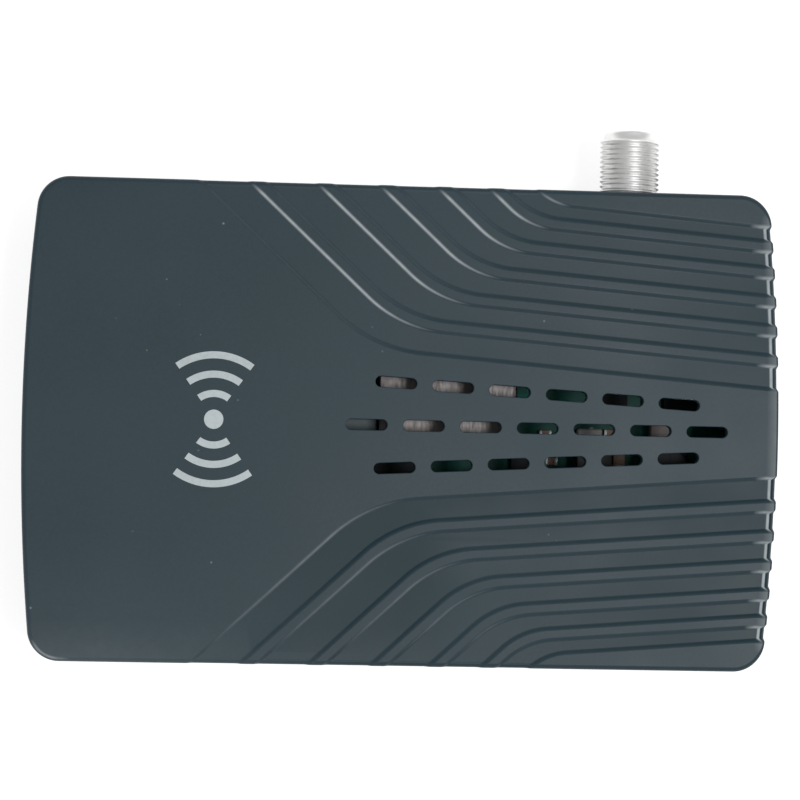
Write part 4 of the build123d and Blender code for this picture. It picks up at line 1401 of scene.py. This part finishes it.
def antenna_mesh():
    """The antenna socket: its soldered block and bore, and a turned barrel with a tapered nose."""
    block_front = board_high.y
    copy = clean_copy("antenna_body")
    shape = bmesh.new()
    shape.from_mesh(copy)
    for face in list(shape.faces):
        ahead = [vertex.co.y - block_front for vertex in face.verts]
        spread = [math.hypot(vertex.co.x - antenna_x, vertex.co.z - part_z) for vertex in face.verts]
        on_barrel = min(ahead) > -MERGE and max(ahead) >= MERGE
        if on_barrel and max(spread) >= BORE_RADIUS + BORE_MARGIN:
            shape.faces.remove(face)
    shape.to_mesh(copy)
    shape.free()
    start = top_high.y + NECK_REACH - block_front
    thread_end = start + THREAD_LENGTH
    tip = thread_end + NOSE_LENGTH
    profile = (
        (NECK_RADIUS, 0), (NECK_RADIUS, start - NECK_EDGE), (THREAD_ROOT, start), (THREAD_ROOT, thread_end),
        (NOSE_RADIUS, thread_end + NOSE_EDGE),
        *((NOSE_RADIUS - loss * MM, tip - back * MM) for loss, back in NOSE_ROUNDING),
        (BORE_RADIUS + BORE_EDGE, tip), (BORE_RADIUS, tip - BORE_EDGE),
    )
    place = at(antenna_x, block_front, part_z) @ ALONG_Y
    barrel = shape_mesh("antenna_barrel", [(turned(profile, 2 * ROUND_STEPS), place)])
    return joined("antenna_socket", [copy, barrel])


def thread_mesh():
    """The thread on the antenna socket's barrel, which ends underneath."""
    values = {
        "Turns": THREAD_LENGTH / THREAD_PITCH, "Radius": (THREAD_CREST + THREAD_ROOT) / 2,
        "Height": THREAD_LENGTH, "Depth": THREAD_CREST - THREAD_ROOT,
        "Width": THREAD_FOOT_SHARE * THREAD_PITCH, "Material": FINISHES["antenna_plating"],
    }
    mesh = grown("antenna_thread", wound_tree("thread", THREAD_STEPS, thread_profile), values)
    mesh.transform(at(antenna_x, top_high.y + NECK_REACH, part_z) @ ALONG_Y @ about_z(math.pi))
    return smoothed(mesh, THREAD_CREASE)


def coil_mesh():
    """The copper wire round the inductor's core."""
    low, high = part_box("inductor_winding")
    middle = (low + high) / 2
    tree = wound_tree("coil", COIL_STEPS, wire_profile)
    layers = []
    for layer in range(COIL_LAYERS):
        values = {
            "Turns": COIL_TURNS, "Radius": (high.x - low.x) / 2 - COIL_WIRE * (1 + COIL_LAYER_STEP * layer),
            "Height": high.z - low.z - 2 * COIL_WIRE, "Depth": COIL_WIRE, "Width": COIL_WIRE,
            "Material": FINISHES["copper"],
        }
        layers.append(grown("inductor_coil", tree, values))
        layers[-1].transform(at(middle.x, middle.y, low.z + COIL_WIRE))
    return joined("inductor_coil", layers)


def pin_shape(width, height):
    """A bent chip pin that stands on the board and leaves the chip along +X."""
    shoulder, instep, heel, armpit = (share * PIN_REACH for share in PIN_BENDS)
    outline = [
        (-PIN_ROOT, height), (shoulder, height), (instep, PIN_SHEET), (PIN_REACH, PIN_SHEET), (PIN_REACH, 0),
        (heel, 0), (armpit, height - PIN_SHEET), (-PIN_ROOT, height - PIN_SHEET),
    ]
    stand = at(0, width / 2, 0) @ ALONG_Y.inverted()
    return shape_mesh("pin", [(extruded(outline, 0, width), stand)])


def chip_pins(name, node, pitch):
    """Rows of bent pins along both long sides of chips."""
    rows = []
    for low, high in solids(node):
        long_axis = 0 if high.x - low.x > high.y - low.y else 1
        count = int((high[long_axis] - low[long_axis]) / pitch)
        step = Vector((0, 0, 0))
        step[long_axis] = pitch
        for side in (1, -1):
            pin = pin_shape(PIN_WIDTH_SHARE * pitch, PIN_HEIGHT_SHARE * (high.z - low.z))
            pin.transform(about_z(side * QUARTER if long_axis == 0 else (1 - side) * QUARTER))
            start = (low + high) / 2 - (count - 1) / 2 * step
            start[1 - long_axis] = (high if side > 0 else low)[1 - long_axis]
            start.z = low.z
            rows.append(row(name, pin, "crystal_can", count, start, step))
    return joined(name, rows)


def capacitor_meshes():
    """Standing capacitors: sleeves drawn in above their seals, and scored metal tops."""
    parts, tops = [], []
    for low, high in solids("capacitors"):
        radius = (high.x - low.x) / 2
        height = high.z - low.z
        place = at((low.x + high.x) / 2, (low.y + high.y) / 2, low.z)
        profile = [(radius * share, level * MM) for share, level in SLEEVE_FOOT]
        profile += [(radius * share, height + level * MM) for share, level in SLEEVE_HEAD]
        parts.append((turned(profile, ROUND_STEPS), place))
        lid = radius * LID_SHARE
        score = height - SCORE_DROP
        angles = np.linspace(SCORE_ANGLE, QUARTER - SCORE_ANGLE, LID_STEPS + 1)
        outline = [(SCORE_HALF, SCORE_HALF), *[tuple(lid * way(angle)) for angle in angles]]
        for quarter in range(4):
            tops.append((extruded(outline, score, height - LID_DROP), place @ about_z(quarter * QUARTER)))
        tops.append((extruded(circle(lid, ARC_STEPS), score - SCORE_FLOOR, score + SCORE_OVERLAP), place))
    return shape_mesh("capacitor_sleeves", parts), shape_mesh("capacitor_tops", tops)


def passive_caps():
    """The tinned ends of the small chip parts."""
    caps = []
    for low, high in solids("chip_passives"):
        size = high - low
        long_axis = 0 if size.x > size.y else 1
        reach = size + Vector((TIN_THICKNESS,) * 3)
        reach[long_axis] = TIN_SHARE * size[long_axis]
        end = box_shape((-TIN_THICKNESS, -TIN_THICKNESS, 0), reach)
        step = Vector((0, 0, 0))
        step[long_axis] = (1 - TIN_SHARE) * size[long_axis] + TIN_THICKNESS
        cap = shape_mesh("cap", [(end, IN_PLACE)], TIN_ROUND)
        caps.append(row("passive_ends", cap, "solder", 2, low, step))
    return joined("passive_ends", caps)


def screw_mesh():
    """Case screws: pan heads with a cross recess, on their shanks."""
    boxes = solids("case_screws")
    low, high = boxes[0]
    radius = (high.x - low.x) / 2
    height = high.z - low.z
    profile = (
        (0, 0), *((radius * share, level * MM) for share, level in SCREW_DOME), (radius, SCREW_HEAD),
        (SCREW_SHANK, SCREW_HEAD), (SCREW_SHANK, height - SCREW_TIP), (SCREW_TIP_SHARE * SCREW_SHANK, height),
        (0, height),
    )
    body = shape_mesh("screw", [(turned(profile, ROUND_STEPS), IN_PLACE)])
    arm, half = RECESS_ARM_SHARE * radius, RECESS_HALF_SHARE * radius
    outline = [
        (half, half), (half, arm), (-half, arm), (-half, half), (-arm, half), (-arm, -half), (-half, -half),
        (-half, -arm), (half, -arm), (half, -half), (arm, -half), (arm, half),
    ]
    recess = shape_mesh("recess", [(extruded(outline, -RECESS_DEPTH, RECESS_DEPTH), IN_PLACE)])
    cutter = linked("recess", recess)
    body = baked(body, "screw", ("BOOLEAN", {"object": cutter, "operation": "DIFFERENCE", "solver": "EXACT"}))
    bpy.data.objects.remove(cutter)
    start = Vector(((low.x + high.x) / 2, (low.y + high.y) / 2, low.z))
    return row("case_screws_finished", body, "screw_steel", len(boxes), start, boxes[-1][0] - low)


def digit_mesh():
    """The seven-bar digits of the display."""
    low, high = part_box("led_display")
    height = DIGIT_HEIGHT_SHARE * (high.z - low.z)
    bar = DIGIT_BAR_SHARE * height
    half = bar / 2
    across = (DIGIT_WIDTH_SHARE * height - bar) / 2
    up = (height - bar) / 4
    places = [(0, 2 * up, 0), (0, 0, 0), (0, -2 * up, 0)]
    places += [(side * across, level * up, 1) for side in (1, -1) for level in (1, -1)]
    parts = []
    for x, y, standing in places:
        reach = (up if standing else across) - DIGIT_GAP_SHARE * half
        outline = [
            (-reach, 0), (-reach + half, half), (reach - half, half), (reach, 0), (reach - half, -half),
            (-reach + half, -half),
        ]
        parts.append((extruded(outline, 0, DIGIT_DEPTH), at(x, y, 0) @ about_z(standing * QUARTER)))
    digit = shape_mesh("digit", parts)
    digit.transform(FACING_FRONT)
    pitch = (high.y - low.y) / DIGIT_COUNT
    start = Vector((low.x, low.y + pitch / 2, (low.z + high.z) / 2))
    return row("display_digits", digit, "segment", DIGIT_COUNT, start, (0, pitch, 0))


def printed(name, outlines, place):
    """A printed sign, a little raised, of several outlines."""
    mesh = shape_mesh(name, [(extruded(outline, -PRINT_HEIGHT, PRINT_HEIGHT), place) for outline in outlines])
    return made_of(mesh, "print")


def standby_symbol():
    """The printed standby sign on the button: an open ring and a bar."""
    low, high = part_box("standby_button")
    middle = (low + high) / 2
    start, end = QUARTER + STANDBY_OPENING, 5 * QUARTER - STANDBY_OPENING
    ring = arc_band(STANDBY_RADIUS, STANDBY_HALF, start, end)
    foot, head = (share * STANDBY_RADIUS for share in STANDBY_BAR)
    bar = [(-STANDBY_HALF, foot), (STANDBY_HALF, foot), (STANDBY_HALF, head), (-STANDBY_HALF, head)]
    return printed("standby_symbol", (ring, bar), at(low.x, middle.y, middle.z) @ FACING_FRONT)


def broadcast_symbol():
    """The printed sign on the cover: a dot between arcs of waves."""
    outlines = [circle(SIGN_DOT, SIGN_DOT_STEPS)]
    for up in (QUARTER, 3 * QUARTER):
        for radius in SIGN_RADII:
            outlines.append(arc_band(radius, SIGN_HALF, up - SIGN_SPREAD, up + SIGN_SPREAD))
    place = case_middle + Vector((*SIGN_PLACE, top_z))
    return printed("broadcast_symbol", outlines, Matrix.Translation(place))


def strip_mesh(low, high):
    """One flat contact strip."""
    return shape_mesh("strip", [(box_shape(low, high), IN_PLACE)])


def flat_contacts():
    """The contact strips of the flat video socket and the data socket."""
    rows = []
    low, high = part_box("hdmi_insert")
    half, reach, thin = VIDEO_STRIP
    strip = strip_mesh((-half, -reach, -thin), (half, 0, thin))
    for count, level in VIDEO_ROWS:
        first = (low.x + high.x) / 2 - (count - 1) / 2 * VIDEO_PITCH
        start = Vector((first, high.y - VIDEO_INSET, low.z + VIDEO_TONGUE + level))
        rows.append(row("socket_contacts", strip, "contact", count, start, (VIDEO_PITCH, 0, 0)))
    low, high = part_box("usb_insert")
    reach, half, thin = DATA_STRIP
    strip = strip_mesh((0, -half, -thin), (reach, half, thin))
    first = (low.y + high.y) / 2 - (DATA_COUNT - 1) / 2 * DATA_PITCH
    start = Vector((low.x + DATA_INSET, first, high.z - DATA_DROP))
    rows.append(row("socket_contacts", strip, "contact", DATA_COUNT, start, (0, DATA_PITCH, 0)))
    return joined("socket_contacts", rows)


# The stage
CAMERA_DISTANCE = 0.42
CAMERA_PLACE = case_middle + Vector((-31.945 * MM, -8.15 * MM, top_z + CAMERA_DISTANCE))
CAMERA_ROLL = math.radians(-1.197)
CAMERA_PITCH = math.radians(-1.645)
CAMERA_YAW = math.radians(4.254)
CAMERA_LENS = 121.64
CAMERA_SENSOR = 36.0
CAMERA_CLIP = 0.01
FLOOR_REACH = 3.0
FLOOR_DROP = 0.02 * MM
FLOOR_GLOW = 0.74
FLOOR_COLOUR = (0.6, 0.6, 0.6, 1)
WHITE = (1, 1, 1, 1)
LAMP_AZIMUTH = math.radians(-14.0)
LAMP_ELEVATION = math.radians(74.0)
LAMP_DISTANCE = 1.1
LAMP_SIZE = 0.25
LAMP_POWER = 3.4
SURROUND_STRENGTH = 0.55


def add_floor():
    """A wide white floor that keeps the receiver's soft shadow."""
    mesh = bpy.data.meshes.new("floor")
    square = ((-1, -1), (1, -1), (1, 1), (-1, 1))
    corners = [(x * FLOOR_REACH, y * FLOOR_REACH, -FLOOR_DROP) for x, y in square]
    mesh.from_pydata(corners, [], [(0, 1, 2, 3)])
    material = finish(
        "floor_white", base_color=FLOOR_COLOUR, roughness=0.9, specular_ior_level=0.2, emission_color=WHITE)
    nodes = Nodes(material)
    nodes.drive("Emission Strength", nodes.between(seen_directly(nodes), 0, FLOOR_GLOW))
    mesh.materials.append(material)
    floor = linked("floor", mesh)


def seen_directly(nodes):
    """One where a surface is looked at, mirrored or seen through glass, and zero for its light."""
    path = nodes.add("LightPath")
    mirrored = nodes.math("MAXIMUM", path["Is Glossy Ray"], path["Is Transmission Ray"])
    return nodes.math("MAXIMUM", path["Is Camera Ray"], mirrored)


def add_lights():
    """A soft square key lamp above the back end, which faces the receiver, and an even surround."""
    lamp = bpy.data.lights.new("key_lamp", "AREA")
    lamp.size = LAMP_SIZE
    lamp.energy = LAMP_POWER
    light = linked("key_lamp", lamp)
    level = math.cos(LAMP_ELEVATION) * way(LAMP_AZIMUTH)
    light.location = case_middle + LAMP_DISTANCE * Vector((*level, math.sin(LAMP_ELEVATION)))
    light.rotation_euler = (case_middle - light.location).to_track_quat("-Z", "Y").to_euler()
    light.visible_camera = False
    world = bpy.data.worlds.new("surround")
    bpy.context.scene.world = world
    world.use_nodes = True
    background = world.node_tree.nodes["Background"].inputs
    background["Color"].default_value = WHITE
    background["Strength"].default_value = SURROUND_STRENGTH


def add_camera():
    """The camera that looks down on the receiver, a little turned."""
    data = bpy.data.cameras.new("camera")
    data.lens = CAMERA_LENS
    data.sensor_width = CAMERA_SENSOR
    data.clip_start = CAMERA_CLIP
    camera = linked("camera", data)
    turn = about_z(CAMERA_ROLL) @ Matrix.Rotation(CAMERA_PITCH, 4, "X") @ Matrix.Rotation(CAMERA_YAW, 4, "Y")
    camera.matrix_world = Matrix.Translation(CAMERA_PLACE) @ turn.inverted()
    bpy.context.scene.camera = camera
    bpy.context.scene.view_settings.view_transform = "Standard"


# How far the edges of parts that keep their shape are rounded, in millimetres, and in how many steps
EDGE_ROUNDS = {
    "bottom_cover": 0.3, "rubber_feet": 0.3, "antenna_insulator": 0.15, "antenna_contact": 0.08,
    "av_jack": 0.2, "dc_jack": 0.2, "dc_pin": 0.25, "hdmi_shell": 0.1, "hdmi_insert": 0.12,
    "usb_shell": 0.1, "usb_insert": 0.12, "display_window": 0.2, "standby_button": 0.3,
    "processor": 0.12, "memory_chip": 0.12, "power_chips": 0.12, "inductor_core": 0.25, "chokes": 0.35,
    "crystal": 0.4, "filter_block": 0.2, "chip_passives": 0.08, "processor_shield": 0.2,
    "tuner_frame": 0.2, "tuner_lid": 0.2,
}
EDGE_STEPS = {"rubber_feet": 3, "dc_pin": 4, "standby_button": 3, "crystal": 4}
COATS = {"chokes": "choke", "crystal": "clock_can"}
BODIES = {"standby_button": BUTTON}


def add_softened(*nodes):
    """Pieces that are nodes' own shapes with their edges rounded, some in a finish of their own."""
    for node in nodes:
        mesh = softened(node, EDGE_ROUNDS[node] * MM, EDGE_STEPS.get(node, 2))
        if node in COATS:
            made_of(mesh, COATS[node])
        add_piece(mesh, BODIES.get(node, CASE), SLOTS[node], node)


class OBJECT_OT_receiver_finishes(bpy.types.Operator):
    """Make every finish and give it to the parts that keep their shape"""

    bl_idname = "object.receiver_finishes"
    bl_label = "Finishes"

    def execute(self, context):
        make_finishes()
        for name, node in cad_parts.items():
            for item in node.material_slots:
                item.material = FINISHES[SLOTS[name]]
        return {"FINISHED"}


class OBJECT_OT_receiver_cover(bpy.types.Operator):
    """Make the ribbed top cover and the sign printed on it"""

    bl_idname = "object.receiver_cover"
    bl_label = "Top Cover"

    def execute(self, context):
        add_piece(cover_mesh(), CASE, "case", "top_cover")
        add_piece(broadcast_symbol(), CASE, "case")
        return {"FINISHED"}


class OBJECT_OT_receiver_base(bpy.types.Operator):
    """Make the bottom cover, its feet and its screws"""

    bl_idname = "object.receiver_base"
    bl_label = "Base"

    def execute(self, context):
        add_softened("bottom_cover", "rubber_feet")
        add_piece(screw_mesh(), CASE, "screw_steel", "case_screws")
        return {"FINISHED"}


class OBJECT_OT_receiver_antenna(bpy.types.Operator):
    """Make the threaded antenna socket"""

    bl_idname = "object.receiver_antenna"
    bl_label = "Antenna Socket"

    def execute(self, context):
        add_piece(antenna_mesh(), CASE, "antenna_plating", "antenna_body")
        add_piece(thread_mesh(), CASE, "antenna_plating")
        add_softened("antenna_insulator", "antenna_contact")
        return {"FINISHED"}


class OBJECT_OT_receiver_sockets(bpy.types.Operator):
    """Make the sound and picture jack, the video, power and data sockets and their contacts"""

    bl_idname = "object.receiver_sockets"
    bl_label = "Sockets"

    def execute(self, context):
        add_softened("av_jack", "dc_jack", "dc_pin", "hdmi_shell", "hdmi_insert", "usb_shell", "usb_insert")
        add_piece(flat_contacts(), CASE, "contact")
        return {"FINISHED"}


class OBJECT_OT_receiver_front(bpy.types.Operator):
    """Make the smoked window, the display behind it and the standby button"""

    bl_idname = "object.receiver_front"
    bl_label = "Front"

    def execute(self, context):
        add_softened("display_window")
        add_piece(digit_mesh(), CASE, "display")
        add_softened("standby_button")
        add_piece(standby_symbol(), BUTTON, "button")
        return {"FINISHED"}


class OBJECT_OT_receiver_board(bpy.types.Operator):
    """Make the parts on the circuit board"""

    bl_idname = "object.receiver_board"
    bl_label = "Board Parts"

    def execute(self, context):
        add_softened("processor", "memory_chip", "power_chips")
        add_piece(chip_pins("memory_pins", "memory_chip", MEMORY_PITCH), CASE, "crystal_can")
        add_piece(chip_pins("power_pins", "power_chips", POWER_PITCH), CASE, "crystal_can")
        sleeves, tops = capacitor_meshes()
        add_piece(sleeves, CASE, "capacitor_sleeve", "capacitors")
        add_piece(made_of(tops, "capacitor_top"), CASE, "crystal_can")
        add_softened("inductor_core")
        add_piece(coil_mesh(), CASE, "copper", "inductor_winding")
        add_softened("chokes", "crystal", "filter_block", "chip_passives")
        add_piece(passive_caps(), CASE, "crystal_can")
        add_softened("processor_shield", "tuner_frame", "tuner_lid")
        return {"FINISHED"}


class OBJECT_OT_receiver_stage(bpy.types.Operator):
    """Set up the floor, the lights and the camera"""

    bl_idname = "object.receiver_stage"
    bl_label = "Stage"

    def execute(self, context):
        add_floor()
        add_lights()
        add_camera()
        return {"FINISHED"}


class VIEW3D_PT_receiver(bpy.types.Panel):
    """The receiver's sizes, colours and steps"""

    bl_label = "Receiver"
    bl_idname = "VIEW3D_PT_receiver"
    bl_space_type = "VIEW_3D"
    bl_region_type = "UI"
    bl_category = "Receiver"

    def draw(self, context):
        for group in (context.scene.receiver_sizes, context.scene.receiver_colours):
            for name in group.__annotations__:
                self.layout.prop(group, name)
        for step in STEPS:
            self.layout.operator(step.bl_idname)


STEPS = (
    OBJECT_OT_receiver_finishes,
    OBJECT_OT_receiver_cover,
    OBJECT_OT_receiver_base,
    OBJECT_OT_receiver_antenna,
    OBJECT_OT_receiver_sockets,
    OBJECT_OT_receiver_front,
    OBJECT_OT_receiver_board,
    OBJECT_OT_receiver_stage,
)
CLASSES = (ReceiverSizes, ReceiverColours, *STEPS, VIEW3D_PT_receiver)


def register():
    """Register the classes and the scene's settings."""
    for item in CLASSES:
        bpy.utils.register_class(item)
    bpy.types.Scene.receiver_sizes = PointerProperty(type=ReceiverSizes)
    bpy.types.Scene.receiver_colours = PointerProperty(type=ReceiverColours)


def unregister():
    """Remove the classes and the scene's settings."""
    del bpy.types.Scene.receiver_colours
    del bpy.types.Scene.receiver_sizes
    for item in reversed(CLASSES):
        bpy.utils.unregister_class(item)


def main():
    """Make every piece in order."""
    register()
    bpy.ops.object.receiver_finishes()
    bpy.ops.object.receiver_cover()
    bpy.ops.object.receiver_base()
    bpy.ops.object.receiver_antenna()
    bpy.ops.object.receiver_sockets()
    bpy.ops.object.receiver_front()
    bpy.ops.object.receiver_board()
    bpy.ops.object.receiver_stage()
    bpy.context.view_layer.update()


if __name__ == "__main__":
    main()
